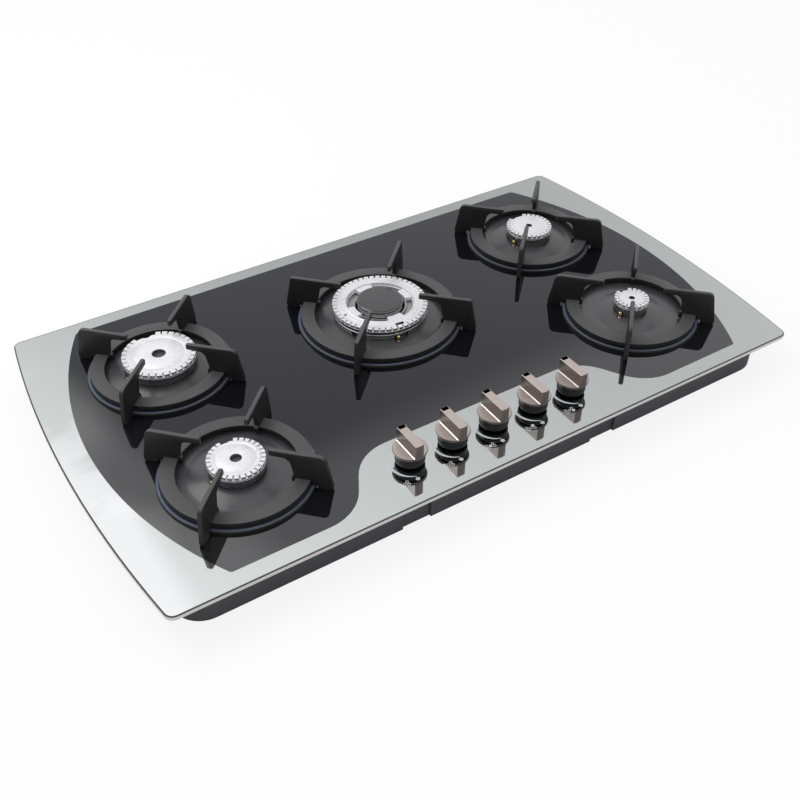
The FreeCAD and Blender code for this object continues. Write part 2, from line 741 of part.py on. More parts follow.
def make_burner_cap():
    """The enamelled cap on the middle burner."""
    body = new_body("burner_cap_middle")
    prism(body, "cap_disc", S.cap_radius, S.crown_top, S.crown_top + S.cap_thickness, S.cap_flats)
    bevel(body, S.crown_top + S.cap_thickness, S.cap_radius / 2, S.cap_edge)
    place(body, 0, S.middle_burner_y, glass_top)
    nodes.append(body)


def make_probes():
    """Spark electrodes with a ceramic shoulder, and thermocouples, standing on the tabs of the cups."""
    electrodes = []
    thermocouples = []
    foot = S.box_height
    for name, (across, along, _) in BURNERS.items():
        reach = probe_radius(name)
        spark_angle, heat_angle = probe_angles(name)
        electrode = new_body(f"electrode_{name}")
        shoulder = glass_top + S.electrode_shoulder
        prism(electrode, f"ceramic_{name}", S.electrode_radius, foot, shoulder, S.probe_flats)
        prism(electrode, f"spark_tip_{name}", S.electrode_tip_radius, shoulder, glass_top + S.electrode_top,
              S.probe_flats)
        place(electrode, across + reach * cosine(spark_angle), along + reach * sine(spark_angle))
        electrodes.append(electrode)
        thermocouple = new_body(f"thermocouple_{name}")
        prism(thermocouple, f"probe_{name}", S.thermocouple_radius, foot, glass_top + S.thermocouple_top,
              S.probe_flats)
        bevel(thermocouple, glass_top + S.thermocouple_top, S.thermocouple_radius / 2, S.thermocouple_radius / 4)
        place(thermocouple, across + reach * cosine(heat_angle), along + reach * sine(heat_angle))
        thermocouples.append(thermocouple)
    group("spark_electrodes", electrodes)
    group("thermocouples", thermocouples)


# ------------------------------------------------------------ pan supports


def make_pan_supports():
    """A ring over the tray's rim with four upright arms on the diagonals."""
    for name, (across, along, _) in BURNERS.items():
        ring_outer = tray_radius(name) - S.support_gap
        ring_inner = ring_outer - S.support_ring_width
        ring_foot = S.support_ring_top - S.support_ring_thickness
        tip = S.arm_tip_middle if is_middle(name) else S.arm_tip_side
        rim = tray_radius(name)
        body = new_body(f"pan_support_{name}")
        prism(body, f"ring_outside_{name}", ring_outer, ring_foot, S.support_ring_top, S.support_ring_flats)
        prism(body, f"ring_inside_{name}", ring_inner, ring_foot, S.support_ring_top, S.support_ring_flats, cut=True)
        arm = new_sketch(body, f"arm_profile_{name}", "XZ_Plane")
        heel = rim + S.arm_heel
        outline(arm, [
            (tip, S.arm_underside), (tip, S.support_top), (rim + S.arm_crest, S.support_top),
            (rim + S.arm_shoulder, S.support_top - S.arm_shoulder_drop), (heel, S.arm_heel_height),
            (heel - S.arm_foot_inset, 0), (heel - S.arm_foot_width - S.arm_foot_inset, 0),
            (rim + S.arm_clearance, ring_foot + S.arm_clearance), (ring_inner + 1, ring_foot + S.arm_clearance),
            (ring_inner, S.support_ring_top), (ring_inner - S.arm_throat, S.arm_underside - S.arm_throat),
            (ring_inner - S.arm_throat * 2, S.arm_underside)])
        plate = pad_both_ways(body, arm, S.arm_thickness)
        spread = body.newObject("PartDesign::PolarPattern", f"arms_{name}")
        spread.Originals = [plate]
        spread.Axis = (arm, ["V_Axis"])
        spread.Angle = 360
        spread.Occurrences = 4
        body.Tip = spread
        doc.recompute()
        place(body, across, along, glass_top, S.support_turn)
        nodes.append(body)


# ------------------------------------------------------- knobs and the taps


def plug_levels():
    """Foot and top of the hole in a tap that the plug turns in."""
    return S.tap_foot + S.tap_floor, S.tap_top - S.tap_roof


def make_knobs():
    """Five knobs, each a metal cap with its bar, a plastic skirt and the tap's spindle."""
    disc_top = glass_top + S.knob_disc_top
    disc_foot = disc_top - S.knob_disc_thickness
    bar_top = glass_top + S.bar_top
    skirt_foot = glass_top + S.skirt_gap
    stem_top = disc_foot + S.stem_reach
    stem_foot = plug_levels()[0] + S.plug_hole_floor + S.push_travel + S.plug_end_gap
    for number, (across, along) in enumerate(knob_places(), start=1):
        cap = new_body(f"knob_cap_{number}")
        prism(cap, f"knob_round_{number}", S.knob_radius, disc_foot, bar_top, S.knob_flats)
        sides = new_sketch(cap, f"knob_sides_{number}", "XY_Plane", bar_top)
        clear = S.knob_radius + 1
        rectangle(sides, S.bar_width / 2, -clear, clear, clear)
        rectangle(sides, -clear, -clear, -S.bar_width / 2, clear)
        pocket(cap, sides, bar_top - disc_top)
        pointer = new_sketch(cap, f"knob_pointer_{number}", "XY_Plane", bar_top)
        rectangle(pointer, -S.pointer_width / 2, S.knob_radius - S.pointer_length, S.pointer_width / 2, clear)
        pocket(cap, pointer, bar_top - disc_top)
        prism(cap, f"knob_socket_{number}", S.stem_radius + S.stem_fit, disc_foot, stem_top, S.small_flats, cut=True)
        place(cap, across, along)
        nodes.append(cap)

        skirt = new_body(f"knob_skirt_{number}")
        prism(skirt, f"skirt_round_{number}", S.skirt_radius, skirt_foot, disc_foot, S.knob_flats)
        prism(skirt, f"skirt_hole_{number}", S.stem_radius + S.stem_fit, skirt_foot, disc_foot, S.small_flats,
              cut=True)
        place(skirt, across, along)
        nodes.append(skirt)

        stem = new_body(f"valve_stem_{number}")
        prism(stem, f"stem_round_{number}", S.stem_radius, stem_foot, stem_top, S.small_flats)
        flat = new_sketch(stem, f"stem_flat_{number}", "XY_Plane", stem_top)
        rectangle(flat, S.stem_flat, -S.stem_radius, S.stem_radius + 1, S.stem_radius)
        pocket(stem, flat, S.stem_flat_length)
        place(stem, across, along)
        nodes.append(stem)


def make_valve_plugs():
    """The plugs that turn in the taps; the spindle slides in a hole in each one's top."""
    low, high = plug_levels()
    for number, (across, along) in enumerate(knob_places(), start=1):
        plug = new_body(f"valve_plug_{number}")
        foot = low + S.plug_end_gap
        top = high - S.plug_end_gap
        prism(plug, f"plug_round_{number}", S.plug_radius, foot, top, S.plug_flats)
        prism(plug, f"plug_hole_{number}", S.stem_radius + S.plug_gap, low + S.plug_hole_floor, top, S.small_flats,
              cut=True)
        place(plug, across, along)
        nodes.append(plug)


def tap_front():
    """Local Y of the tap's front face, which meets the manifold."""
    return -S.tap_depth / 2


def manifold_line():
    return -S.knob_row_y + tap_front() - S.manifold_radius


def make_taps():
    """Cast tap bodies: a block with a hole for the plug, a boss for the outlet pipe and a clamp screw."""
    low, high = plug_levels()
    # a hole with flats clears the plug that turns in it where its flats are nearest
    hole_radius = (S.plug_radius + S.plug_gap) / cosine(180 / S.plug_flats)
    taps = []
    screws = []
    for number, (across, along) in enumerate(knob_places(), start=1):
        tap = new_body(f"tap_body_{number}")
        block = new_sketch(tap, f"tap_block_{number}", "XY_Plane", S.tap_foot)
        rectangle(block, -S.tap_width / 2, tap_front(), S.tap_width / 2, S.tap_depth / 2)
        pad(tap, block, S.tap_top - S.tap_foot)
        boss_end = -S.tap_depth / 2 - S.outlet_length
        prism(tap, f"tap_outlet_{number}", S.outlet_radius, boss_end, -S.tap_depth / 2, S.pipe_flats,
              0, S.gas_level, plane="XZ_Plane")
        prism(tap, f"tap_hole_{number}", hole_radius, low, high, S.plug_flats, cut=True)
        prism(tap, f"tap_roof_hole_{number}", (S.stem_radius + S.roof_gap) / cosine(180 / S.small_flats), high,
              S.tap_top, S.small_flats, cut=True)
        place(tap, across, along)
        taps.append(tap)

        screw = new_body(f"tap_screw_{number}")
        prism(screw, f"screw_head_{number}", S.screw_head, S.tap_top, S.tap_top + S.screw_head_height, as_size(6))
        place(screw, across, along + tap_front() + S.screw_setback)
        screws.append(screw)
    group("tap_bodies", taps)
    group("tap_screws", screws)


# ----------------------------------------------------------------- gas way


def elbow(body, name, across, along, size):
    """A cube that joins two tubes at the gas level."""
    sketch = new_sketch(body, name, "XY_Plane", S.gas_level - size / 2)
    rectangle(sketch, across - size / 2, along - size / 2, across + size / 2, along + size / 2)
    return pad(body, sketch, size)


def tube_along_x(body, name, start, end, along, radius, flats):
    return prism(body, name, radius, start, end, flats, along, S.gas_level, plane="YZ_Plane")


def tube_along_y(body, name, start, end, across, radius, flats):
    return prism(body, name, radius, -end, -start, flats, across, S.gas_level, plane="XZ_Plane")


def make_manifold():
    """The gas rail along the front of the taps, and its branch to the inlet at the rear."""
    body = new_body("gas_manifold")
    line = manifold_line()
    start = -(S.knob_pitch * 2 + S.manifold_overhang)
    tube_along_x(body, "rail_run", start, S.inlet_x, line, S.manifold_radius, S.manifold_flats)
    elbow(body, "rail_elbow", S.inlet_x, line, S.manifold_elbow)
    tube_along_y(body, "branch_run", line, S.inlet_y - S.inlet_block / 2, S.inlet_x, S.manifold_radius,
                 S.manifold_flats)
    nodes.append(body)


def make_inlet():
    """The gas inlet: an elbow block with a male pipe thread that points down through the box's floor."""
    body = new_body("inlet_elbow")
    half = S.inlet_block / 2
    thread_foot = S.inlet_set_up
    block_foot = thread_foot + S.inlet_length
    thread = new_sketch(body, "inlet_thread", "XY_Plane", thread_foot)
    circle(thread, 0, 0, S.inlet_thread_radius)
    pad(body, thread, S.inlet_length)
    block = new_sketch(body, "inlet_block_outline", "XY_Plane", block_foot)
    rectangle(block, -half, -half, half, half)
    pad(body, block, S.gas_level + S.manifold_radius + S.inlet_set_up - block_foot)
    place(body, S.inlet_x, S.inlet_y)
    nodes.append(body)


def make_pipes_and_injectors():
    """One pipe from each tap: the outer pair to the front burners, the inner pair to the rear ones."""
    outlet_y = -S.knob_row_y + S.tap_depth / 2 + S.outlet_length
    feeds = {"rear_left": 1, "front_left": 0, "middle": 2, "rear_right": 3, "front_right": 4}
    taps = knob_places()
    pipes = []
    injectors = []
    for name, (across, along, gas_side) in BURNERS.items():
        tap_x = taps[feeds[name]][0]
        wall = burner_size("body_radius", name) * cosine(180 / S.small_flats)
        pipe = new_body(f"gas_pipe_{name}")
        if is_middle(name):
            tube_along_y(pipe, f"pipe_run_{name}", outlet_y, along - wall - S.injector_length, tap_x,
                         S.pipe_radius, S.pipe_flats)
        else:
            tube_along_y(pipe, f"pipe_run_{name}", outlet_y, along, tap_x, S.pipe_radius, S.pipe_flats)
            elbow(pipe, f"pipe_elbow_{name}", tap_x, along, S.pipe_elbow)
            side = 1 if gas_side == 0 else -1
            near_end = across + (wall + S.injector_length) * side
            first, last = (near_end, tap_x) if side > 0 else (tap_x, near_end)
            tube_along_x(pipe, f"pipe_branch_{name}", first, last, along, S.pipe_radius, S.pipe_flats)
        pipes.append(pipe)
        injector = new_body(f"injector_{name}")
        tube_along_x(injector, f"injector_round_{name}", wall, wall + S.injector_length, as_size(0),
                     S.injector_radius, S.pipe_flats)
        place(injector, across, along, 0, as_size(gas_side))
        injectors.append(injector)
    group("gas_pipes", pipes)
    group("injectors", injectors)


def make_ignition_module():
    body = new_body("ignition_module")
    case = new_sketch(body, "module_case", "XY_Plane")
    rectangle(case, -S.module_length / 2, -S.module_width / 2, S.module_length / 2, S.module_width / 2)
    pad(body, case, S.module_height)
    posts = new_sketch(body, "module_terminals", "XY_Plane", S.module_height)
    first = -(S.terminal_count - 1) * S.terminal_pitch / 2
    rectangle(posts, first - S.terminal_size / 2, -S.terminal_size / 2, first + S.terminal_size / 2,
              S.terminal_size / 2)
    post = pad(body, posts, S.terminal_height)
    row = body.newObject("PartDesign::LinearPattern", "module_terminal_row")
    row.Originals = [post]
    row.Direction = (posts, ["H_Axis"])
    bind(row, "Length", S.terminal_pitch * (S.terminal_count - 1))
    bind(row, "Occurrences", S.terminal_count)
    body.Tip = row
    doc.recompute()
    place(body, -S.module_x, -S.module_y, S.box_sheet)
    nodes.append(body)


make_glass_panel()
make_bottom_box()
make_seal()
make_rails()
make_drip_trays()
make_burner_cups()
make_side_heads()
make_middle_head()
make_inner_crown()
make_burner_cap()
make_probes()
make_pan_supports()
make_knobs()
make_valve_plugs()
make_taps()
make_manifold()
make_inlet()
make_pipes_and_injectors()
make_ignition_module()
doc.recompute()

for thing in doc.Objects:
    if "Invalid" in thing.State or "Error" in thing.State:
        raise ValueError(f"{thing.Label} did not recompute: {thing.State}")
for node in nodes:
    if node.Shape.isNull() or not node.Shape.isValid():
        raise ValueError(f"{node.Label} has no valid shape")

os.makedirs("parts", exist_ok=True)
for node in nodes:
    node.Shape.exportStep(f"parts/{node.Label}.step")
print(len(nodes), "nodes written")
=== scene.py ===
"""Looks of the gas cooktop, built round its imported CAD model. Pieces are drawn in millimetres."""

import math

import bmesh
import bpy
from bpy.props import FloatProperty, FloatVectorProperty, IntProperty, PointerProperty
from mathutils import Matrix, Vector
from mathutils.geometry import delaunay_2d_cdt


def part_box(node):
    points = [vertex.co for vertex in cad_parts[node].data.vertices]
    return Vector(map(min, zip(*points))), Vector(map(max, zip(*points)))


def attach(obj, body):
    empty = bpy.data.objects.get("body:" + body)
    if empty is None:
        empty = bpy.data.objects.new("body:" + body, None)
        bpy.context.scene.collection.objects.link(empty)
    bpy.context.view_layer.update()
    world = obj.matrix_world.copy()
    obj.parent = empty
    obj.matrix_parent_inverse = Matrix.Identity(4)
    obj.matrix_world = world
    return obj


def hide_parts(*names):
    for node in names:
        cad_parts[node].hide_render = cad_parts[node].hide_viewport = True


bl_info = {
    "name": "Gas cooktop looks",
    "version": (1, 0, 0),
    "blender": (4, 5, 0),
    "location": "3D View > Sidebar > Cooktop",
    "description": "Builds the visible pieces of a five burner gas cooktop over its CAD model",
    "category": "Object",
}

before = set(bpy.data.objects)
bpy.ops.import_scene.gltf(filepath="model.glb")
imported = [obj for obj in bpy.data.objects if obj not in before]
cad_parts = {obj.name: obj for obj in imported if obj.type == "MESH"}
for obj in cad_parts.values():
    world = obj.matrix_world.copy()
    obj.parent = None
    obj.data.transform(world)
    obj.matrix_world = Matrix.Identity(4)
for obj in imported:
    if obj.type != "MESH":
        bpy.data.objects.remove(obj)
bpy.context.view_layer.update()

MM = 0.001
GLASS_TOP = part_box("glass_panel")[1].z / MM
GLASS_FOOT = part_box("glass_panel")[0].z / MM
KNOB_ROW = (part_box("knob_cap_3")[0].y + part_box("knob_cap_3")[1].y) / 2 / MM

# name: (across, along, crown radius, tray radius, bore radius, notch depth, port groups, thermocouple angle)
BURNERS = {
    "rear_left": (-287.5, 108, 45, 90, 8.5, 8, 32, 195),
    "front_left": (-287.5, -112, 32.5, 90, 6.5, 5, 28, 195),
    "middle": (0, 57, 62.5, 109, 0, 0, 48, 260),
    "rear_right": (287.5, 108, 32.5, 90, 4.5, 5.5, 28, 195),
    "front_right": (287.5, -112, 22.5, 90, 4, 4, 20, 195),
}
SIDES = [name for name in BURNERS if name != "middle"]
KNOB_PITCH = 58.0
KNOBS = {number: (number - 3) * KNOB_PITCH for number in range(1, 6)}
NOTCH_ANGLE = math.pi / 2
BARE_BORDER = 0.9  # between the ground edge and the coats
POINT_RING = 1e-7  # so small that all copies turn about one point
KNOB_RADIUS = 20


# ---- node trees


class Socket:
    """One output of a node tree, so that sums on it read as sums."""

    def __init__(self, nodes, socket):
        self.nodes, self.socket = nodes, socket

    def sum(self, operation, first, second):
        return self.nodes.add("Math", {"operation": operation}, {0: first, 1: second})

    def __add__(self, other):
        return self.sum("ADD", self, other)

    def __radd__(self, other):
        return self.sum("ADD", other, self)

    def __sub__(self, other):
        return self.sum("SUBTRACT", self, other)

    def __rsub__(self, other):
        return self.sum("SUBTRACT", other, self)

    def __mul__(self, other):
        return self.sum("MULTIPLY", self, other)

    def __rmul__(self, other):
        return self.sum("MULTIPLY", other, self)

    def __truediv__(self, other):
        return self.sum("DIVIDE", self, other)

    def __gt__(self, other):
        return self.sum("GREATER_THAN", self, other)


def plain(value):
    """A colour of three numbers with its alpha added; anything else as it is."""
    return (*value, 1) if isinstance(value, tuple) and len(value) == 3 else value


def tinted(colour, gain):
    return tuple(min(part * gain, 1) for part in colour)


class Nodes:
    """A shader or geometry tree that is written with one method."""

    def __init__(self, tree):
        self.tree = tree

    def add(self, kind, settings=None, sockets=None, out=0):
        node = self.tree.nodes.new(kind if kind.startswith("Geometry") else "ShaderNode" + kind)
        for name, value in (settings or {}).items():
            if name == "stops":
                ramp = node.color_ramp
                while len(ramp.elements) < len(value):
                    ramp.elements.new(0.5)
                for element, (place, colour) in zip(ramp.elements, value):
                    element.position, element.color = place, (*colour, 1)[:4]
            else:
                setattr(node, name, value)
        for name, value in (sockets or {}).items():
            if isinstance(value, Socket):
                self.tree.links.new(value.socket, node.inputs[name])
            elif value is not None:
                node.inputs[name].default_value = value
        return Socket(self, node.outputs[out]) if len(node.outputs) else node

    def mix(self, factor, first, second):
        """One colour over another by factor."""
        return self.add("Mix", {"data_type": "RGBA"}, {0: factor, 6: plain(first), 7: plain(second)}, out=2)

    def noise(self, scale, detail=2.0, place=None, rough=0.5):
        return self.add("TexNoise", None, {"Vector": place or self.place(), "Scale": scale, "Detail": detail,
                                           "Roughness": rough})

    def place(self):
        return self.add("TexCoord", out="Object")

    def ground(self):
        """The places across and along, one socket each."""
        return [self.add("SeparateXYZ", None, {0: self.place()}, out=axis) for axis in (0, 1)]

    def fade(self, value, start, end, last=1.0):
        """0 up to start, a smooth rise, and last from end on."""
        return self.add("MapRange", {"interpolation_type": "SMOOTHSTEP"},
                        {0: value, 1: start, 2: end, 4: last})

    def stretched(self, scale):
        """The place on the piece, pulled along its axes so that grain runs one way."""
        return self.add("Mapping", None, {"Vector": self.place(), "Scale": scale})

    def facing_up(self):
        """1 on level faces that look up, 0 on walls."""
        return self.add("SeparateXYZ", None, {0: self.add("TexCoord", out="Normal")}, out=2)

    def bump(self, height, strength, distance):
        return self.add("Bump", None, {"Height": height, "Strength": strength, "Distance": distance * MM})


FINISHES = {}


def finish(name, colour, rough, metal=0.0, bump=None, **more):
    """A surface. Colour and rough may be sockets; more names other sockets of the shader."""
    material = FINISHES[name]
    shader = material.node_tree.nodes["Principled BSDF"]
    sockets = {"Base Color": colour, "Roughness": rough, "Metallic": metal, "Normal": bump, **more}
    for socket, value in sockets.items():
        if isinstance(value, Socket):
            material.node_tree.links.new(value.socket, shader.inputs[socket])
        elif value is not None:
            shader.inputs[socket].default_value = plain(value)


def new_finish(name):
    material = bpy.data.materials.new(name)
    material.use_nodes = True
    FINISHES[name] = material
    return Nodes(material.node_tree)


# ---- shapes


def rounded(corners, steps=5, closed=True):
    """An outline (x, y, radius, tag) with each corner rounded, as points (x, y, tag)."""
    points = []
    count = len(corners)
    for index, corner in enumerate(corners):
        x, y, radius, tag = (*corner, 0, 0)[:4]
        here = Vector((x, y))
        if not radius or (not closed and index in (0, count - 1)):
            points.append((x, y, tag))
            continue
        back = Vector(corners[index - 1][:2]) - here
        onward = Vector(corners[(index + 1) % count][:2]) - here
        half = back.angle(onward) / 2
        reach = min(radius / math.tan(half), 0.49 * back.length, 0.49 * onward.length)
        start, end = here + back.normalized() * reach, here + onward.normalized() * reach
        centre = here + (back.normalized() + onward.normalized()).normalized() * reach / math.cos(half)
        first, last = start - centre, end - centre
        sweep = math.atan2(first.x * last.y - first.y * last.x, first.dot(last))
        for step in range(steps + 1):
            angle = sweep * step / steps
            turned = Vector((first.x * math.cos(angle) - first.y * math.sin(angle),
                             first.x * math.sin(angle) + first.y * math.cos(angle)))
            points.append((centre.x + turned.x, centre.y + turned.y, tag))
    return points


def circle(radius, count, across, along):
    turns = [math.tau * i / count for i in range(count)]
    return [(across + radius * math.cos(turn), along + radius * math.sin(turn)) for turn in turns]


def ring_part(inner, outer, middle, half, steps):
    """The plan of a part of a ring, half to each side of the angle middle."""
    turns = [middle - half + 2 * half * i / steps for i in range(steps + 1)]
    plan = [(inner * math.cos(turn), inner * math.sin(turn)) for turn in turns]
    return plan + [(outer * math.cos(turn), outer * math.sin(turn)) for turn in turns[::-1]]


def set_down(plan, angle, across, along):
    """The plan, turned by an angle in degrees and moved to its place."""
    way = Matrix.Rotation(math.radians(angle), 2)
    return [(across + point.x, along + point.y) for point in (way @ Vector(pair) for pair in plan)]


def inside(point, loop):
    x, y = point
    hit = False
    for (ax, ay), (bx, by) in zip(loop, loop[1:] + loop[:1]):
        if (ay > y) != (by > y) and x < (bx - ax) * (y - ay) / (by - ay) + ax:
            hit = not hit
    return hit


def notch_limit(radius, depth):
    """How far out the metal goes at each angle, beside a round notch in the rim."""
    def limit(angle):
        turn = (angle - NOTCH_ANGLE + math.pi) % math.tau - math.pi
        if abs(turn) > 1 or abs(radius * math.sin(turn)) >= depth:
            return math.inf
        return radius * math.cos(turn) - math.sqrt(depth ** 2 - (radius * math.sin(turn)) ** 2)
    return limit


def notch_angles(count, radius, depth):
    """Angles round a crown, set close together where the notch is."""
    edge = math.asin(min(depth / radius, 1))
    fine = [NOTCH_ANGLE + edge * math.sin(math.pi / 2 * step / 12) * 0.9999 for step in range(-12, 13)]
    fine += [NOTCH_ANGLE - edge * 1.001, NOTCH_ANGLE + edge * 1.001]
    rest = [math.tau * i / count for i in range(count)]
    rest = [a for a in rest if abs((a - NOTCH_ANGLE + math.pi) % math.tau - math.pi) > edge * 1.01]
    return sorted(a % math.tau for a in rest + fine)


class Form:
    """The mesh of one piece while it is put together."""

    def __init__(self, *finishes):
        self.mesh = bmesh.new()
        self.finishes = finishes

    def face(self, corners, tag=0):
        if len(set(corners)) < 3:
            return
        made = self.mesh.faces.get(corners) or self.mesh.faces.new(corners)
        made.material_index = tag

    def turned(self, profile, across=0.0, along=0.0, angles=96, limit=None, closed=True):
        """A turned solid: profile is (radius, height, tag) all the way round, or from pole to pole.

        A tag is the number of one of the piece's finishes.
        """
        if isinstance(angles, int):
            angles = [math.tau * i / angles for i in range(angles)]
        columns = []
        for angle in angles:
            reach = limit(angle) if limit else math.inf
            column = []
            for radius, height, _ in profile:
                radius = min(radius, reach)
                column.append((across + radius * math.cos(angle), along + radius * math.sin(angle), height))
            columns.append([self.mesh.verts.new(place) for place in column])
        rows = len(profile)
        for first, second in zip(columns, columns[1:] + columns[:1]):
            for row in range(rows if closed else rows - 1):
                nearby = (row + 1) % rows
                self.face([first[row], second[row], second[nearby], first[nearby]], profile[row][2])
        bmesh.ops.remove_doubles(self.mesh, verts=self.mesh.verts, dist=1e-5)
        return self

    def loft(self, loops, tags=None, capped=True, cap_tag=0):
        rows = [[self.mesh.verts.new(place) for place in loop] for loop in loops]
        for number, (low, high) in enumerate(zip(rows, rows[1:])):
            for a, b, c, d in zip(low, low[1:] + low[:1], high[1:] + high[:1], high):
                self.face([a, b, c, d], tags[number] if tags else 0)
        if capped:
            self.face(rows[0][::-1], cap_tag)
            self.face(rows[-1], cap_tag)
        return self

    def plate(self, outer, holes, low, high, chamfer, regions, top_tag, wall_tag, foot_tag):
        """A flat plate with holes; regions are (loop, tag) painted on its top."""
        loops = [outer, *holes]
        inner = [shrunk(outer, chamfer), *(shrunk(hole, -chamfer) for hole in holes)]
        points, edges = [], []
        for loop in inner + [region for region, _ in regions]:
            first = len(points)
            points += [Vector(point) for point in loop]
            edges += [(first + i, first + (i + 1) % len(loop)) for i in range(len(loop))]
        flat, _, faces, source, _, _ = delaunay_2d_cdt(points, edges, [], 0, 1e-5)
        kept = []
        for face in faces:
            middle = sum((flat[i] for i in face), Vector((0, 0))) / len(face)
            if inside(middle, inner[0]) and not any(inside(middle, hole) for hole in inner[1:]):
                tags = [tag for region, tag in regions if inside(middle, region)]
                kept.append((face, tags[-1] if tags else top_tag))
        tops, feet = {}, {}
        for face, tag in kept:
            for i in face:
                if i not in tops:
                    tops[i] = self.mesh.verts.new((*flat[i], high))
                    feet[i] = self.mesh.verts.new((*flat[i], low))
            self.face([tops[i] for i in face], tag)
            self.face([feet[i] for i in face[::-1]], foot_tag)
        for wide, narrow in zip(loops, inner):
            steps = ((narrow, high), (wide, high - chamfer), (wide, low + chamfer), (narrow, low))
            chain = [[(*point, level) for point in loop] for loop, level in steps]
            self.loft(chain, [wall_tag] * 3, capped=False)
        bmesh.ops.remove_doubles(self.mesh, verts=self.mesh.verts, dist=1e-4)
        return self

    def piece(self, name, body, slot, replaces=(), sharp=32.0):
        mesh = bpy.data.meshes.new(name)
        bmesh.ops.recalc_face_normals(self.mesh, faces=self.mesh.faces)
        self.mesh.transform(Matrix.Diagonal((MM, MM, MM, 1)))
        self.mesh.to_mesh(mesh)
        self.mesh.free()
        for finish_name in self.finishes:
            mesh.materials.append(FINISHES[finish_name])
        mesh.shade_smooth()
        mesh.set_sharp_from_angle(angle=math.radians(sharp))
        made = bpy.data.objects.new(name, mesh)
        bpy.context.scene.collection.objects.link(made)
        if body:
            dress(made, body, replaces)
        return made


def shrunk(loop, inset):
    """The same outline, moved inwards by inset."""
    area = sum(a[0] * b[1] - b[0] * a[1] for a, b in zip(loop, loop[1:] + loop[:1]))
    side = 1 if area > 0 else -1
    moved = []
    for before, here, after in zip(loop[-1:] + loop[:-1], loop, loop[1:] + loop[:1]):
        along = (Vector(after) - Vector(before)).normalized()
        moved.append((here[0] - along.y * inset * side, here[1] + along.x * inset * side))
    return moved


def dress(piece, body, replaces=()):
    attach(piece, body)
    if replaces:
        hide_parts(*replaces)


def settled(piece):
    """The piece with its modifiers made into a plain mesh."""
    graph = bpy.context.evaluated_depsgraph_get()
    mesh = bpy.data.meshes.new_from_object(piece.evaluated_get(graph))
    piece.modifiers.clear()
    piece.data = mesh
    return piece


def carved(piece, *cutters):
    """The piece with the cutters' room taken out of it."""
    for cutter in cutters:
        tool = piece.modifiers.new("carve", "BOOLEAN")
        tool.operation, tool.solver, tool.object = "DIFFERENCE", "EXACT", cutter
    settled(piece)
    for cutter in cutters:
        bpy.data.objects.remove(cutter)
    piece.data.shade_smooth()
    piece.data.set_sharp_from_angle(angle=math.radians(32))
    return piece


def prism(plan, low, high, tag, *finishes):
    """A straight cutter over a plan, with one finish number on all its faces."""
    loops = [[(*point, level) for point in plan] for level in (low, high)]
    return Form(*finishes).loft(loops, [tag], cap_tag=tag).piece("cutter", None, None)


def joined(first, *others):
    """One piece out of several meshes, with the finishes of each kept."""
    form = bmesh.new()
    finishes = []
    for part in (first, *others):
        mesh = part.data
        numbers = []
        for material in mesh.materials:
            if material not in finishes:
                finishes.append(material)
            numbers.append(finishes.index(material))
        start = len(form.faces)
        form.from_mesh(mesh)
        form.faces.ensure_lookup_table()
        for face in form.faces[start:]:
            face.material_index = numbers[face.material_index]
    first.data.materials.clear()
    for material in finishes:
        first.data.materials.append(material)
    form.to_mesh(first.data)
    form.free()
    for part in others:
        bpy.data.objects.remove(part)
    return first


def ring_of_copies():
    """A geometry tree that sets copies of a piece round a centre, and leaves a gap where one is asked for."""
    tree = bpy.data.node_groups.new("ring_of_copies", "GeometryNodeTree")
    for name, kind in (("Geometry", "NodeSocketGeometry"), ("Count", "NodeSocketInt"),
                       ("First Angle", "NodeSocketFloat"), ("Gap Angle", "NodeSocketFloat"),
                       ("Gap Half Width", "NodeSocketFloat"), ("Centre", "NodeSocketVector"),
                       ("Finish", "NodeSocketMaterial"), ("One Finish", "NodeSocketBool")):
        tree.interface.new_socket(name, in_out="INPUT", socket_type=kind)
    tree.interface.new_socket("Geometry", in_out="OUTPUT", socket_type="NodeSocketGeometry")
    nodes = Nodes(tree)
    given = tree.nodes.new("NodeGroupInput")
    take = lambda name: Socket(nodes, given.outputs[name])
    points = nodes.add("GeometryNodeMeshCircle", None, {"Vertices": take("Count"), "Radius": POINT_RING})
    angle = nodes.add("GeometryNodeInputIndex") * math.tau / take("Count") + take("First Angle")
    away = nodes.add("Math", {"operation": "WRAP"}, {0: angle - take("Gap Angle"), 1: math.pi, 2: -math.pi})
    clear = nodes.add("Math", {"operation": "ABSOLUTE"}, {0: away}) > take("Gap Half Width")
    turn = nodes.add("CombineXYZ", None, {"Z": angle})
    copies = nodes.add("GeometryNodeInstanceOnPoints", None,
                       {"Points": points, "Instance": take("Geometry"), "Selection": clear, "Rotation": turn})
    plain = nodes.add("GeometryNodeRealizeInstances", None, {"Geometry": copies})
    moved = nodes.add("GeometryNodeTransform", None, {"Geometry": plain, "Translation": take("Centre")})
    painted = nodes.add("GeometryNodeSetMaterial", None,
                        {"Geometry": moved, "Material": take("Finish"), "Selection": take("One Finish")})
    result = tree.nodes.new("NodeGroupOutput")
    tree.links.new(painted.socket, result.inputs["Geometry"])
    return tree


def copied_round(piece, count, centre, first=0.0, gap=0.0, gap_half=-1.0, surface=None):
    """The piece, repeated round a centre (millimetres) by the geometry tree."""
    tree = bpy.data.node_groups.get("ring_of_copies") or ring_of_copies()
    modifier = piece.modifiers.new("ring", "NODES")
    modifier.node_group = tree
    values = {"Count": count, "First Angle": first, "Gap Angle": gap, "Gap Half Width": gap_half,
              "Centre": [c * MM for c in centre], "Finish": FINISHES[surface or "head_aluminium"],
              "One Finish": bool(surface)}
    for socket in tree.interface.items_tree:
        if socket.in_out == "INPUT" and socket.name in values:
            modifier[socket.identifier] = values[socket.name]
    return settled(piece)


# ---- settings


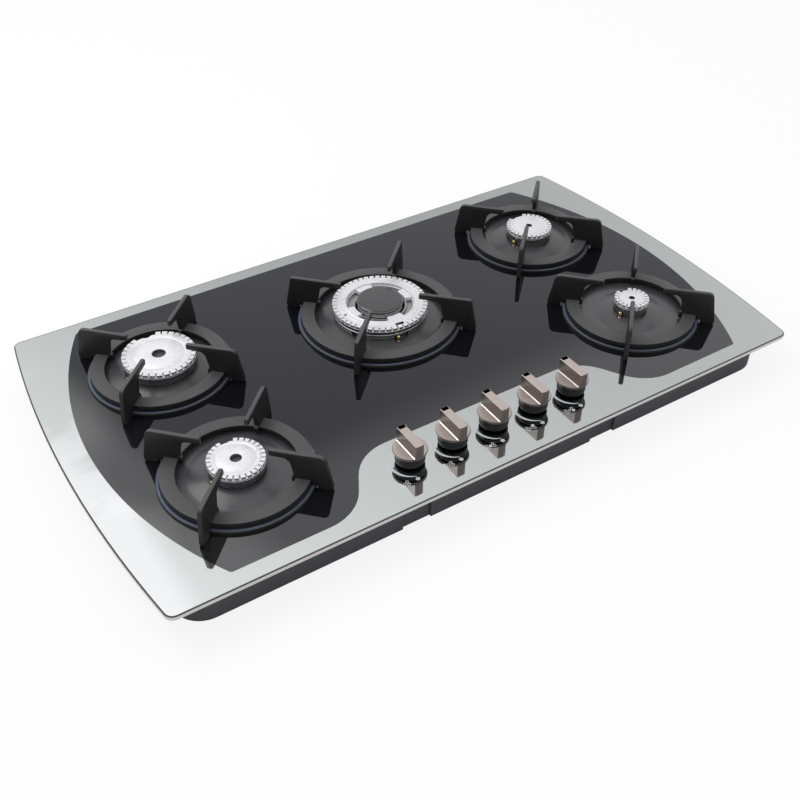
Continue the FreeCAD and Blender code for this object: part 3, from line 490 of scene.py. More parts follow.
class CooktopGlass(bpy.types.PropertyGroup):
    """Sizes and colours of the glass top."""

    side_radius: FloatProperty(name="Side radius", description="Radius of the bowed sides", default=1.605,
                               unit="LENGTH")
    corner_radius: FloatProperty(name="Corner radius", description="Radius of the glass corners",
                                 default=0.011, unit="LENGTH")
    arris: FloatProperty(name="Arris", description="Width of the ground edge", default=0.0008, unit="LENGTH")
    mirror: FloatVectorProperty(name="Mirror coat", description="Colour of the silver coat", subtype="COLOR",
                                default=(0.55, 0.59, 0.585))
    print_colour: FloatVectorProperty(name="Dark print", description="Colour of the dark field",
                                      subtype="COLOR", default=(0.005, 0.005, 0.007))


class CooktopBurners(bpy.types.PropertyGroup):
    """Sizes and colours of burners, trays and pan supports."""

    slot: FloatProperty(name="Slot width", description="Width of a slot between two blocks of the rim",
                        default=0.0022, unit="LENGTH")
    mouth_edge: FloatProperty(name="Mouth edge", description="Width of the metal beside a flame mouth",
                              default=0.0005, unit="LENGTH")
    tooth: FloatProperty(name="Tooth width",
                         description="Width of the metal between the two mouths of a block",
                         default=0.0007, unit="LENGTH")
    port_reach: FloatProperty(name="Slot reach", description="How far a slot cuts in from the rim",
                              default=0.0052, unit="LENGTH")
    inner_ports: IntProperty(name="Inner ports", description="Ports round the inner crown", default=24)
    arm_thickness: FloatProperty(name="Arm thickness", description="Thickness of a pan support's arm",
                                 default=0.0055, unit="LENGTH")
    metal: FloatVectorProperty(name="Crown metal", description="Colour of the bare crowns", subtype="COLOR",
                               default=(0.72, 0.72, 0.745))
    enamel: FloatVectorProperty(name="Enamel", description="Colour of the trays' enamel", subtype="COLOR",
                                default=(0.062, 0.060, 0.069))


class CooktopKnobs(bpy.types.PropertyGroup):
    """Sizes and colours of the knobs and the marks round them."""

    edge: FloatProperty(name="Edge bevel", description="Bevel of the bar's edges", default=0.0005,
                        unit="LENGTH")
    ring_radius: FloatProperty(name="Ring radius", description="Radius of the printed ring", default=0.0244,
                               unit="LENGTH")
    metal: FloatVectorProperty(name="Knob metal", description="Colour of the knob caps", subtype="COLOR",
                               default=(0.49, 0.42, 0.39))


class CooktopStage(bpy.types.PropertyGroup):
    """Light and floor."""

    soft_light: FloatProperty(name="Soft light", description="Strength of the light from all round",
                              default=0.75)
    lamp: FloatProperty(name="Lamp", description="Power of the large soft lamp", default=16.0,
                        subtype="POWER")
    floor: FloatVectorProperty(name="Floor", description="Colour of the floor", subtype="COLOR",
                               default=(0.93, 0.93, 0.93))


# ---- surfaces


# name: noise scale, dark and light colour, roughness, its grain (scale, gain), metallic, other inputs
PLAIN_FINISHES = {
    "glass_edge": (8, (0.60, 0.56, 0.545), (0.70, 0.67, 0.655), 0.18, (90, 0.08), 0, {"IOR": 1.52}),
    "arris": (30, (0.02, 0.03, 0.03), (0.05, 0.06, 0.06), 0.2, None, 0, {}),
    # painted highlight: a thin blue line on the crest of the tray rim
    "tray_rim": (20, (0.11, 0.16, 0.30), (0.17, 0.25, 0.44), 0.20, (80, 0.06), 0,
                 {"Coat Weight": 0.2, "Coat Roughness": 0.06}),
    "crown_wall": (60, (0.17, 0.17, 0.185), (0.30, 0.30, 0.32), 0.22, (160, 0.10), 0.9, {}),
    "wall_metal": (60, (0.36, 0.37, 0.41), (0.50, 0.51, 0.55), 0.24, (160, 0.10), 1, {}),
    "skirt_metal": (60, (0.62, 0.60, 0.56), (0.78, 0.75, 0.70), 0.30, (160, 0.10), 1, {}),
    # painted shade in flame ports and gaps; also the dark print of the flame marks
    "port_shade_and_print": (300, (0.010, 0.010, 0.010), (0.03, 0.03, 0.03), 0.7, None, 0, {}),
    "bore_shade": (90, (0.06, 0.062, 0.066), (0.11, 0.113, 0.118), 0.5, None, 0.3, {}),
    "notch_shade": (90, (0.040, 0.040, 0.045), (0.065, 0.065, 0.072), 0.5, None, 0, {}),
    # painted highlight along the foot of the knob's bar
    "knob_foot_painted_highlight": (400, (0.80, 0.75, 0.70), (0.92, 0.87, 0.82), 0.22, None, 1, {}),
    "skirt_plastic": (35, (0.010, 0.010, 0.012), (0.018, 0.018, 0.021), 0.30, (120, 0.10), 0,
                      {"Specular IOR Level": 0.16}),
    "stem_steel": (200, (0.42, 0.42, 0.43), (0.52, 0.52, 0.53), 0.3, None, 1, {}),
    "brass": (120, (0.62, 0.45, 0.16), (0.74, 0.56, 0.24), 0.26, (90, 0.12), 1, {}),
    "pipe_aluminium": (900, (0.56, 0.56, 0.58), (0.66, 0.66, 0.68), 0.34, None, 1, {}),
    "ceramic": (150, (0.72, 0.70, 0.66), (0.82, 0.80, 0.76), 0.25, None, 0, {}),
    "print_white": (60, (0.62, 0.66, 0.70), (0.74, 0.77, 0.80), 0.3, None, 0, {}),
}
# name: noise scale (None: the skin's own noise), the skin's scale and detail, dark and light colour,
# roughness, metallic, strength and depth of the bump
CAST_FINISHES = {
    "cup_aluminium": (40, 1100, 3, (0.30, 0.30, 0.31), (0.42, 0.42, 0.43), 0.42, 1, 0.35, 0.12),
    "trough_metal": (None, 900, 3, (0.30, 0.30, 0.31), (0.40, 0.40, 0.41), 0.5, 0.7, 0.35, 0.15),
    "module_plastic": (None, 1400, 2, (0.05, 0.05, 0.055), (0.08, 0.08, 0.085), 0.5, 0, 0.3, 0.08),
}
# CAD pieces that are shown as they are
CAD_FINISHES = {
    "bottom_box": "box_paint", "seal_gasket": "seal_rubber", "burner_rails": "galvanised_steel",
    "burner_cups": "cup_aluminium", "gas_manifold": "pipe_aluminium", "inlet_elbow": "brass",
    "tap_bodies": "pipe_aluminium", "tap_screws": "stem_steel", "gas_pipes": "pipe_aluminium",
    "injectors": "brass", "ignition_module": "module_plastic",
    **{f"valve_stem_{number}": "stem_steel" for number in KNOBS},
    **{f"valve_plug_{number}": "brass" for number in KNOBS},
}


def glass_finishes(look):
    """The silver coat with painted reflection: a painted sheen that grows to the left and front, painted glare
    in clouds to the left and at the front left corner; and the dark print with its brighter front and left.
    """
    nodes = new_finish("mirror_glass")
    x, y = nodes.ground()
    # painted reflection: white glare in clouds towards the left
    painted_glare_clouds = nodes.fade(nodes.noise(5.5, 4.0, nodes.stretched((1.0, 1.6, 1.0)), 0.55), 0.50, 0.60)
    left = nodes.fade(x + y * 0.6, -0.28, -0.52)
    # painted sheen: a smooth brightness over the coat, fitted to the reflected light
    painted_sheen = 0.43 - x * 0.28 - y * 0.30 + x * x * 0.62 + x * y * 0.30 + nodes.noise(2.5) * 0.06 - 0.03
    silver = nodes.mix(nodes.add("Clamp", None, {0: painted_sheen}), (0, 0, 0), tinted(look.mirror, 1 / 0.58))
    white = (0.92, 0.93, 0.95)
    # painted reflection: a white glare near the front left corner
    bright = nodes.mix(nodes.fade(x, -0.385, -0.420) * nodes.fade(y, -0.05, -0.10, 0.8), silver, white)
    finish("mirror_glass", nodes.mix(painted_glare_clouds * left * 0.85, bright, white), 0.035 + nodes.noise(60.0) * 0.03,
           1.0, **{"Coat Weight": 0.4, "Coat Roughness": 0.02})

    nodes = new_finish("print_glass")
    dark = nodes.mix(nodes.noise(3.0, 2.0), tinted(look.print_colour, 0.8), tinted(look.print_colour, 1.2))
    x, y = nodes.ground()
    side = nodes.fade(x + y * 0.25, -0.33, -0.40) * (0.5 + nodes.fade(nodes.noise(4.5, 1.0), 0.42,
                                                                      0.60) * 0.5)
    finish("print_glass", dark, 0.008 + nodes.noise(45.0) * 0.012,
           **{"IOR": 1.45, "Specular Tint": (0.82, 0.86, 1.0),
              "Coat Weight": nodes.fade(y, -0.09, -0.19, 0.35) + side,
              "Coat IOR": 2.0, "Coat Roughness": 0.01})


def housing_finishes():
    """Painted steel, seal and galvanised rails."""
    nodes = new_finish("box_paint")
    grain = nodes.noise(900.0, 2.0)
    finish("box_paint", nodes.mix(nodes.noise(6.0), (0.044, 0.045, 0.054), (0.060, 0.061, 0.073)),
           0.42 + grain * 0.12, bump=nodes.bump(grain, 0.25, 0.06))

    nodes = new_finish("seal_rubber")
    cell = nodes.add("TexVoronoi", None, {"Vector": nodes.place(), "Scale": 1500.0})
    finish("seal_rubber", nodes.mix(cell, (0.012, 0.012, 0.012), (0.03, 0.03, 0.03)), 0.85,
           bump=nodes.bump(cell, 0.5, 0.15))

    nodes = new_finish("galvanised_steel")
    spangle = nodes.add("TexVoronoi", {"feature": "F1"}, {"Vector": nodes.place(), "Scale": 160.0},
                        out="Color")
    zinc = (0.47, 0.48, 0.49)
    finish("galvanised_steel", nodes.mix(0.75, nodes.mix(0.18, zinc, spangle), zinc),
           0.38 + nodes.noise(200.0) * 0.12, 1.0)


def burner_finishes(look):
    """Enamel of trays, supports and cap, and the bare metal of the crowns. The trays come in a lighter and a
    darker copy of one enamel, as painted light and painted shade; supports and cap carry painted light by the
    way a face looks.
    """
    # lit and shaded copies of one enamel: the lighter copy is painted light, the darker copy painted shade
    for name, gain in (("tray_enamel", 0.70), ("dish_enamel_painted_light", 0.84)):
        nodes = new_finish(name)
        shade = nodes.mix(nodes.noise(14.0), tinted(look.enamel, gain * 0.9), tinted(look.enamel, gain * 1.1))
        speck = nodes.noise(2400.0, 1.0) > 0.71
        finish(name, nodes.mix(speck * 0.35, shade, (0.16, 0.16, 0.17)), 0.30 + nodes.noise(30.0) * 0.10,
               bump=nodes.bump(nodes.noise(420.0, 2.0), 0.10, 0.10),
               **{"Coat Weight": 0.25, "Coat Roughness": 0.18})

    nodes = new_finish("support_enamel")
    pebble = nodes.noise(650.0, 3.0)
    # painted light: faces that look up are lighter grey, and walls are near black as painted shade
    stops = [(0.55, (0.010, 0.010, 0.011)), (0.94, (0.088, 0.087, 0.092))]
    top = nodes.add("ValToRGB", {"stops": stops}, {0: nodes.facing_up()})
    finish("support_enamel", nodes.mix(nodes.noise(25.0) * 0.35, top, (0.03, 0.03, 0.032)),
           0.42 + pebble * 0.10, bump=nodes.bump(pebble, 0.22, 0.14), **{"Specular IOR Level": 0.32})

    for name, gain, mottle in (("head_aluminium", 1.09, 0.8), ("ring_aluminium", 1.08, 1.0)):
        nodes = new_finish(name)
        turned_marks = nodes.noise(260.0, 4.0)
        tone = nodes.mix(nodes.noise(70.0, 3.0), tinted(look.metal, gain * (1 - 0.07 * mottle)),
                         tinted(look.metal, gain * 1.05))
        dull = nodes.add("MapRange", None, {0: nodes.noise(420.0, 3.0), 1: 0.50, 2: 0.68, 4: 0.35 * mottle})
        finish(name, nodes.mix(dull, tone, (0.42, 0.42, 0.43)), 0.44 + turned_marks * 0.12, 0.45,
               bump=nodes.bump(turned_marks, 0.10 + 0.15 * mottle, 0.10))

    nodes = new_finish("cap_enamel")
    speck = nodes.noise(1800.0, 1.0) > 0.70
    # painted highlight: a bright band where the rounded edge faces half up, with near black walls and a dark
    # top
    stops = [(0.36, (0.004, 0.004, 0.004)), (0.50, (0.50, 0.51, 0.53)), (0.64, (0.014, 0.014, 0.020))]
    edge = nodes.add("ValToRGB", {"stops": stops}, {0: nodes.facing_up()})
    finish("cap_enamel", nodes.mix(speck * 0.3, edge, (0.07, 0.07, 0.075)), 0.22,
           bump=nodes.bump(nodes.noise(350.0), 0.10, 0.08), **{"Coat Weight": 0.5, "Coat Roughness": 0.08})


def knob_finishes(look):
    """Brushed metal: grain along the knob's bar on top, upright on its sides, which take a much darker colour
    as painted shade.
    """
    nodes = new_finish("knob_metal")
    brushed = nodes.noise(1.0, 3.0, nodes.stretched((2600.0, 60.0, 260.0)))
    finish("knob_metal", nodes.mix(brushed, tinted(look.metal, 0.90), tinted(look.metal, 1.10)),
           0.30 + brushed * 0.12, 0.6, bump=nodes.bump(brushed, 0.12, 0.03))

    nodes = new_finish("knob_side_painted_shade")
    # painted shade: the sides and the disc's rim take a much darker colour than the top
    upright = nodes.noise(1.0, 3.0, nodes.stretched((700.0, 700.0, 60.0)))
    finish("knob_side_painted_shade", nodes.mix(upright, (0.125, 0.105, 0.098), (0.175, 0.150, 0.140)),
           0.26 + upright * 0.12, 1.0, bump=nodes.bump(upright, 0.10, 0.03))


class COOKTOP_OT_surfaces(bpy.types.Operator):
    """Make every surface and give the CAD pieces that stay theirs"""

    bl_idname = "cooktop.surfaces"
    bl_label = "Surfaces"

    def execute(self, context):
        glass_finishes(context.scene.cooktop_glass)
        housing_finishes()
        burner_finishes(context.scene.cooktop_burners)
        knob_finishes(context.scene.cooktop_knobs)
        for name, (scale, dark, light, rough, grain, metal, more) in PLAIN_FINISHES.items():
            nodes = new_finish(name)
            if grain:
                rough = rough + nodes.noise(grain[0]) * grain[1]
            finish(name, nodes.mix(nodes.noise(scale), dark, light), rough, metal, **more)
        for name, (scale, grain, detail, dark, light, rough, metal, strength, depth) in CAST_FINISHES.items():
            nodes = new_finish(name)
            skin = nodes.noise(grain, detail)
            tone = nodes.noise(scale) if scale else skin
            finish(name, nodes.mix(tone, dark, light), rough, metal, nodes.bump(skin, strength, depth))
        for node, surface in CAD_FINISHES.items():
            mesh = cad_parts[node]
            if not mesh.material_slots:
                raise RuntimeError(f"{node} has no material slot")
            for slot in mesh.material_slots:
                slot.material = FINISHES[surface]
        return {"FINISHED"}


# ---- glass


def dark_field():
    """Outline of the dark print: bowed sides, straight rear, and a bay for the knobs at the front."""
    points = []
    reach, middle = 476.0, -59.5
    top, low = 236.5, -236.0
    start, end = math.asin(low / reach), math.asin(top / reach)
    for step in range(33):
        angle = start + (end - start) * step / 32
        points.append((middle + reach * math.cos(angle), reach * math.sin(angle)))
    right = rounded([(points[0][0] - 40, low), (*points[0], 5), (*points[1], 0)], 4, False)[1:]
    right += [(x, y, 0) for x, y in points[2:-2]]
    right += rounded([(*points[-2], 0), (*points[-1], 7), (points[-1][0] - 60, top)], 5, False)[:-1]
    bend, straight, slant = 59.0, 25.0, math.radians(60)
    bay = []
    for step in range(9):
        angle = slant * step / 8
        bay.append((125 + bend * math.sin(angle), -155.5 - bend * (1 - math.cos(angle))))
    x, y = bay[-1][0] + straight * math.cos(slant), bay[-1][1] - straight * math.sin(slant)
    for step in range(9):
        angle = slant * (1 - step / 8)
        bay.append((x + bend * (math.sin(slant) - math.sin(angle)),
                    y - bend * (math.cos(angle) - math.cos(slant))))
    half = bay + [(px, py) for px, py, _ in right]
    return half + [(-px, py) for px, py in half[::-1]]


def glass_outline(width, depth, side, corner):
    """Straight front and rear, bowed sides, small round corners."""
    points = []
    start = math.asin(depth / 2 / side)
    for step in range(25):
        angle = -start + 2 * start * step / 24
        points.append((width / 2 - side + side * math.cos(angle), side * math.sin(angle)))
    half = rounded([(0, points[0][1]), (*points[0], corner), (*points[1], 0)], 6, False)[1:]
    half += [(x, y, 0) for x, y in points[2:-2]]
    half += rounded([(*points[-2], 0), (*points[-1], corner), (0, points[-1][1])], 6, False)[:-1]
    half = [(x, y) for x, y, _ in half]
    return half + [(-x, y) for x, y in half[::-1]]


class COOKTOP_OT_glass(bpy.types.Operator):
    """Build the glass top with its silver coat, dark print and ground edge"""

    bl_idname = "cooktop.glass"
    bl_label = "Glass top"

    def execute(self, context):
        look = context.scene.cooktop_glass
        low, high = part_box("glass_panel")
        outline = glass_outline((high.x - low.x) / MM, (high.y - low.y) / MM, look.side_radius / MM,
                                look.corner_radius / MM)
        holes = [circle(size[2] + 6, 72, size[0], size[1]) for size in BURNERS.values()]
        holes += [circle(7, 24, across, KNOB_ROW) for across in KNOBS.values()]
        form = Form("mirror_glass", "print_glass", "glass_edge", "arris")
        form.plate(outline, holes, GLASS_FOOT, GLASS_TOP, chamfer=look.arris / MM,
                   regions=[(shrunk(outline, look.arris / MM + BARE_BORDER), 0), (dark_field(), 1)],
                   top_tag=3, wall_tag=2, foot_tag=1)
        for face in form.mesh.faces:
            heights = [vert.co.z for vert in face.verts]
            if max(heights) > GLASS_TOP - 1e-3 and min(heights) < GLASS_TOP - 1e-3:
                face.material_index = 3
        form.piece("glass_top", "hob", "coated_glass", ["glass_panel"], sharp=20)
        return {"FINISHED"}


# ---- trays


class COOKTOP_OT_trays(bpy.types.Operator):
    """Build the enamelled trays round the burners"""

    bl_idname = "cooktop.trays"
    bl_label = "Drip trays"

    def execute(self, context):
        made = []
        for name, (across, along, radius, rim, _, _, _, second) in BURNERS.items():
            hole = radius - (5 if name == "middle" else 2) + 0.5
            up = GLASS_TOP
            # finish 1 on the rim's crest is the blue painted highlight; finish 2 on the rim's walls is the
            # support enamel with its painted shade
            profile = rounded([
                (hole, up, 0, 0), (rim, up, 0.4, 2), (rim - 0.7, up + 3.2, 1.4, 2),
                               (rim - 2.4, up + 3.2, 0, 1), (rim - 3.6, up + 3.2, 1.0, 1),
                (rim - 4.8, up + 1.7, 0.8, 2), (rim - 7.5, up + 1.6, 0, 0), (hole + 26, up + 1.6, 24, 0),
                               (hole + 5, up + 6.5, 12, 0),
                (hole, up + 6.5, 1.0, 0)], 6)
            # the front trays take the lighter copy as painted light, the rear and middle trays the darker copy
            # as painted shade
            surface = "dish_enamel_painted_light" if name.startswith("front") else "tray_enamel"
            piece = Form(surface, "tray_rim", "support_enamel").turned(profile, across, along,
                                                                       128).piece(f"tray_{name}", None, None)
            cutters = []
            bow = [math.radians(degrees) for degrees in range(-90, 91, 15)]
            plan = [(hole - 3, -3.5), *((radius + 2.5 + 3.5 * math.cos(turn), 3.5 * math.sin(turn))
                                        for turn in bow),
                    (hole - 3, 3.5)]
            for angle in (90, second):
                cutters.append(prism(set_down(plan, angle, across, along), up - 2, up + 9, 0, "tray_enamel"))
            made.append(carved(piece, *cutters))
        whole = joined(*made)
        whole.name = "trays"
        dress(whole, "hob", ["drip_trays"])
        return {"FINISHED"}


# ---- burner heads


def port_teeth(radius, foot, top, groups, reach, look, centre, gap, name, surface="head_aluminium"):
    """A ring of blocks with slots between them; each block has two flame mouths in its face, painted dark as
    painted shade.
    """
    pitch = math.tau * radius / groups
    half, edge, tooth, deep = (pitch - look.slot / MM) / 2, look.mouth_edge / MM, look.tooth / MM / 2, 2.4
    back = (radius - reach - 0.4) / radius
    form = Form(surface, "port_shade_and_print")
    floor = radius - deep
    mouth = [(radius, -half), (radius, edge - half), (floor, edge - half), (floor, -tooth), (radius, -tooth)]
    mouth += [(x, -y) for x, y in mouth[::-1]]
    low = [*mouth, (radius * back, half * back), (radius * back, -half * back)]
    lip = top - 0.6
    form.loft([[(x, y, z) for x, y in low] for z in (foot, lip)])
    rim = [(radius, -half), (radius, half), (radius * back, half * back), (radius * back, -half * back)]
    form.loft([[(x, y, lip) for x, y in rim], [(x, y, top - 0.2) for x, y in rim],
               [(min(x, radius - 0.3), y, top) for x, y in rim]])
    for face in form.mesh.faces:
        spot = face.calc_center_median()
        within = floor - 0.1 < spot.x < radius - 0.2 and spot.z < lip - 0.1
        if within and abs(spot.y) < half - edge + 0.01:
            face.material_index = 1
    piece = form.piece(name, None, None)
    return copied_round(piece, groups, (*centre, GLASS_TOP), 0.03, math.pi / 2, gap)


class COOKTOP_OT_side_heads(bpy.types.Operator):
    """Build the four plain burner heads"""

    bl_idname = "cooktop.side_heads"
    bl_label = "Side burner heads"

    def execute(self, context):
        look = context.scene.cooktop_burners
        dimples = {"rear_left": [(36.7, 180)], "rear_right": [(22, 180), (26, -7)],
                   "front_left": [(24, 170), (25.5, -7)], "front_right": [(14, 180)]}
        for name in SIDES:
            across, along, radius, _, bore, notch, groups, _ = BURNERS[name]
            reach = look.port_reach / MM * (1.2 if name == "front_right" else 1)
            spigot = radius - 2 - 3 - 0.3
            line = radius * 0.70
            profile = rounded([
                (0, 19, 0, 3), (bore, 19, 0.5, 3), (bore, 24.5, 0.7, 0), (line - 0.5, 24.5, 0, 0),
                               (line, 24.2, 0, 0),
                (line + 0.5, 24.5, 0, 0), (radius - reach, 24.5, 0.2, 0), (radius - reach, 20.8, 0, 0),
                               (radius - 0.7, 20.8, 0, 0),
                (radius, 20.6, 0.2, 0), (radius, 20.0, 0.2, 0), (radius - 0.6, 19.7, 0, 2),
                               (radius - 0.6, 18.9, 0, 2),
                (radius - 0.1, 18.6, 0.1, 0), (radius - 0.1, 18.1, 0.1, 2), (radius - 0.6, 17.8, 0, 2),
                               (radius - 0.6, 13, 0, 2),
                (radius - 1.2, 8.8, 0.3, 2), (radius - 1.9, 8.6, 0, 2), (radius - 1.9, 12, 0, 2),
                               (spigot, 12, 0, 2),
                (spigot, 3, 0, 2), (spigot - 2.5, 3, 0, 2), (spigot - 2.5, 12, 0, 2), (0, 12, 0, 2)], 3,
                              False)
            profile = [(r, GLASS_TOP + z, tag) for r, z, tag in profile]
            body = Form("head_aluminium", "port_shade_and_print", "crown_wall", "bore_shade").turned(
                profile, across, along, notch_angles(160, radius,
                                                     notch), notch_limit(radius, notch), closed=False)
            piece = body.piece(f"head_{name}", None, None)
            cutters = []
            for out, angle in dimples[name]:
                turn = math.radians(angle)
                x, y = across + out * math.cos(turn), along + out * math.sin(turn)
                pit = rounded([(0, GLASS_TOP + 23.7), (1.6, GLASS_TOP + 23.9, 0.5), (2.5, GLASS_TOP + 24.9),
                               (0, GLASS_TOP + 24.9)],
                              3, False)
                cutters.append(Form("trough_metal").turned(pit, x, y, 24,
                                                           closed=False).piece("pit_cutter", None, None))
            carved(piece, *cutters)
            gap = math.asin(notch / radius) + 0.4 * math.tau / groups
            teeth = port_teeth(radius, 20.7, 24.5, groups, reach, look, (across, along), gap, f"teeth_{name}")
            joined(piece, teeth)
            dress(piece, f"head_{name}", [f"burner_head_{name}"])
        return {"FINISHED"}


class COOKTOP_OT_middle_burner(bpy.types.Operator):
    """Build the double ring burner: outer head, inner crown and cap"""

    bl_idname = "cooktop.middle_burner"
    bl_label = "Middle burner"

    def execute(self, context):
        look = context.scene.cooktop_burners
        across, along, radius, _, _, _, groups, _ = BURNERS["middle"]
        up = GLASS_TOP
        reach = look.port_reach / MM
        spigot = radius - 5 - 3 - 0.3
        profile = rounded([
            (32.5, 16, 0, 3), (32.5, 20.5, 0.5, 3), (43.9, 20.5, 1.0, 0), (44.5, 25.3, 0.6, 0),
                           (45.5, 25.3, 0.6, 0),
            (46.7, 24.6, 0.4, 0), (53.5, 24.6, 0, 0), (54, 24.35, 0, 0), (54.5, 24.6, 0, 0),
                           (radius - reach, 24.6, 0.2, 0),
            (radius - reach, 20.7, 0, 0), (radius - 0.7, 20.7, 0, 0), (radius, 20.5, 0.2, 0),
                           (radius, 19.9, 0.2, 0),
            (radius - 0.6, 19.6, 0, 2), (radius - 0.6, 15.4, 0, 2), (radius - 0.2, 15.1, 0, 2),
                           (radius - 0.2, 14.2, 0, 2),
            (radius - 1.0, 10.6, 0.4, 4), (60.7, 10.4, 0, 4), (60.1, 7.0, 0.3, 4), (57.9, 7.0, 0, 4),
                           (57.9, 12, 0, 2),
            (spigot, 12, 0, 2), (spigot, 3, 0, 2), (spigot - 3, 3, 0, 2), (spigot - 3, 16, 0, 3)], 3)
        profile = [(r, up + z, tag) for r, z, tag in profile]
        looks = ("ring_aluminium", "port_shade_and_print", "wall_metal", "trough_metal", "skirt_metal")
        piece = Form(*looks).turned(profile, across, along, 192).piece("head_middle", None, None)
        cutters = []
        window = ring_part(35.5, 43.2, math.radians(45), math.radians(27), 10)
        for quarter in range(4):
            cutters.append(prism(set_down(window, 90 * quarter, across, along), up + 17.4, up + 22, 3,
                                 *looks))
        # radius and angle of a gap's middle, half its depth and width, foot, top, finish number
        # finish 1 paints a gap's faces near black as painted shade
        gaps = [(54.8, -94, 2.3, 5.8, 21, 27, 1), (53.3, 182, 1.8, 1.8, 23.4, 27, 3),
                (62, 266, 4.6, 9.6, 5, 14.9, 1), (62, 212, 4.6, 10.6, 5, 14.9, 1)]
        for away, angle, near, wide, low, high, tag in gaps:
            plan = [(away + a * near, b * wide) for a, b in ((-1, -1), (1, -1), (1, 1), (-1, 1))]
            cutters.append(prism(set_down(plan, angle, across, along), up + low, up + high, tag, *looks))
        carved(piece, *cutters)
        loops = []
        for level, inset in ((20.3, 0.0), (23.6, 0.6), (24.1, 1.3)):
            plan = ring_part(33.6 + inset, 44.1 - inset * 0.2, 0, math.radians(16.5) - inset / 40, 8)
            loops.append([(*point, level) for point in plan])
        bridges = copied_round(Form("ring_aluminium").loft(loops).piece("bridges", None, None), 4,
                               (across, along, up), surface="ring_aluminium")
        teeth = port_teeth(radius, 20.6, 24.6, groups, reach, look, (across, along), -1.0, "teeth_middle",
                           "ring_aluminium")
        joined(piece, bridges, teeth)
        dress(piece, "head_middle", ["burner_head_middle"])

        crown = rounded([
            (0, 10), (12, 10), (12, 19, 0), (28.6, 19, 0.4), (29.5, 20.0, 0.5), (29.5, 20.8, 0.3),
                         (26.9, 21.0, 0), (26.9, 23.4, 0),
            (29.3, 23.6, 0.3), (29.3, 24.5, 0.3), (27, 24.5, 0), (0, 24.5)], 3, False)
        # the recessed wall at radius 26.9 takes the dark port finish as painted shade
        crown = [(r, up + z, 1 if 26.8 < r < 27.0 else 0) for r, z, _ in crown]
        ring = Form("head_aluminium", "port_shade_and_print").turned(crown, across, along, 128, closed=False)
        ring = ring.piece("crown_inner", None, None)
        teeth = port_teeth(29.4, 20.8, 23.8, look.inner_ports, 2.4, look, (across, along), -1.0,
                           "teeth_inner")
        joined(ring, teeth)
        dress(ring, "inner_crown", ["inner_crown_middle"])

        lid = rounded([(0, 24.55), (29.9, 24.55, 0.4), (30.5, 25.4, 0.6), (30.5, 28.0, 1.6),
                       (28.4, 29.3, 2.5), (0, 29.5)], 6, False)
        lid = [(r, up + z, 0) for r, z, _ in lid]
        Form("cap_enamel").turned(lid, across, along, 128, closed=False).piece(
            "cap_black", "cap", "cap_enamel", ["burner_cap_middle"])
        return {"FINISHED"}


# ---- electrodes


class COOKTOP_OT_probes(bpy.types.Operator):
    """Build the spark electrodes and the thermocouples"""

    bl_idname = "cooktop.probes"
    bl_label = "Electrodes and probes"

    def execute(self, context):
        sparks, probes = Form("ceramic", "stem_steel"), Form("brass", "stem_steel")
        foot, up = GLASS_TOP - 6, GLASS_TOP
        for across, along, radius, _, _, _, _, second in BURNERS.values():
            for form, angle in ((sparks, 90), (probes, second)):
                turn = math.radians(angle)
                x, y = across + (radius + 2.5) * math.cos(turn), along + (radius + 2.5) * math.sin(turn)
                if form is sparks:
                    shape = [(0, foot, 0, 0), (3, foot, 0, 0), (3, up + 2, 0, 0), (2.6, up + 2.4, 0, 0),
                             (2.6, up + 8, 0.8, 0),
                             (1.6, up + 9, 0.4, 0), (0.9, up + 9, 0, 1), (0.9, up + 14.6, 0.3, 1),
                             (0.35, up + 15, 0.2, 1), (0, up + 15, 0, 1)]
                else:
                    shape = [(0, foot, 0, 1), (2.2, foot, 0, 1), (2.2, up + 6, 0, 1), (1.7, up + 6.4, 0, 0),
                             (1.7, up + 7.4, 0, 0),
                             (2.2, up + 7.8, 0, 0), (2.2, up + 13, 1.2, 0), (1.1, up + 14, 0.5, 0),
                             (0, up + 14, 0, 0)]
                form.turned(rounded(shape, 4, False), x, y, 28, closed=False)
        sparks.piece("electrodes", "hob", "ceramic", ["spark_electrodes"])
        probes.piece("flame_probes", "hob", "brass", ["thermocouples"])
        return {"FINISHED"}


# ---- pan supports


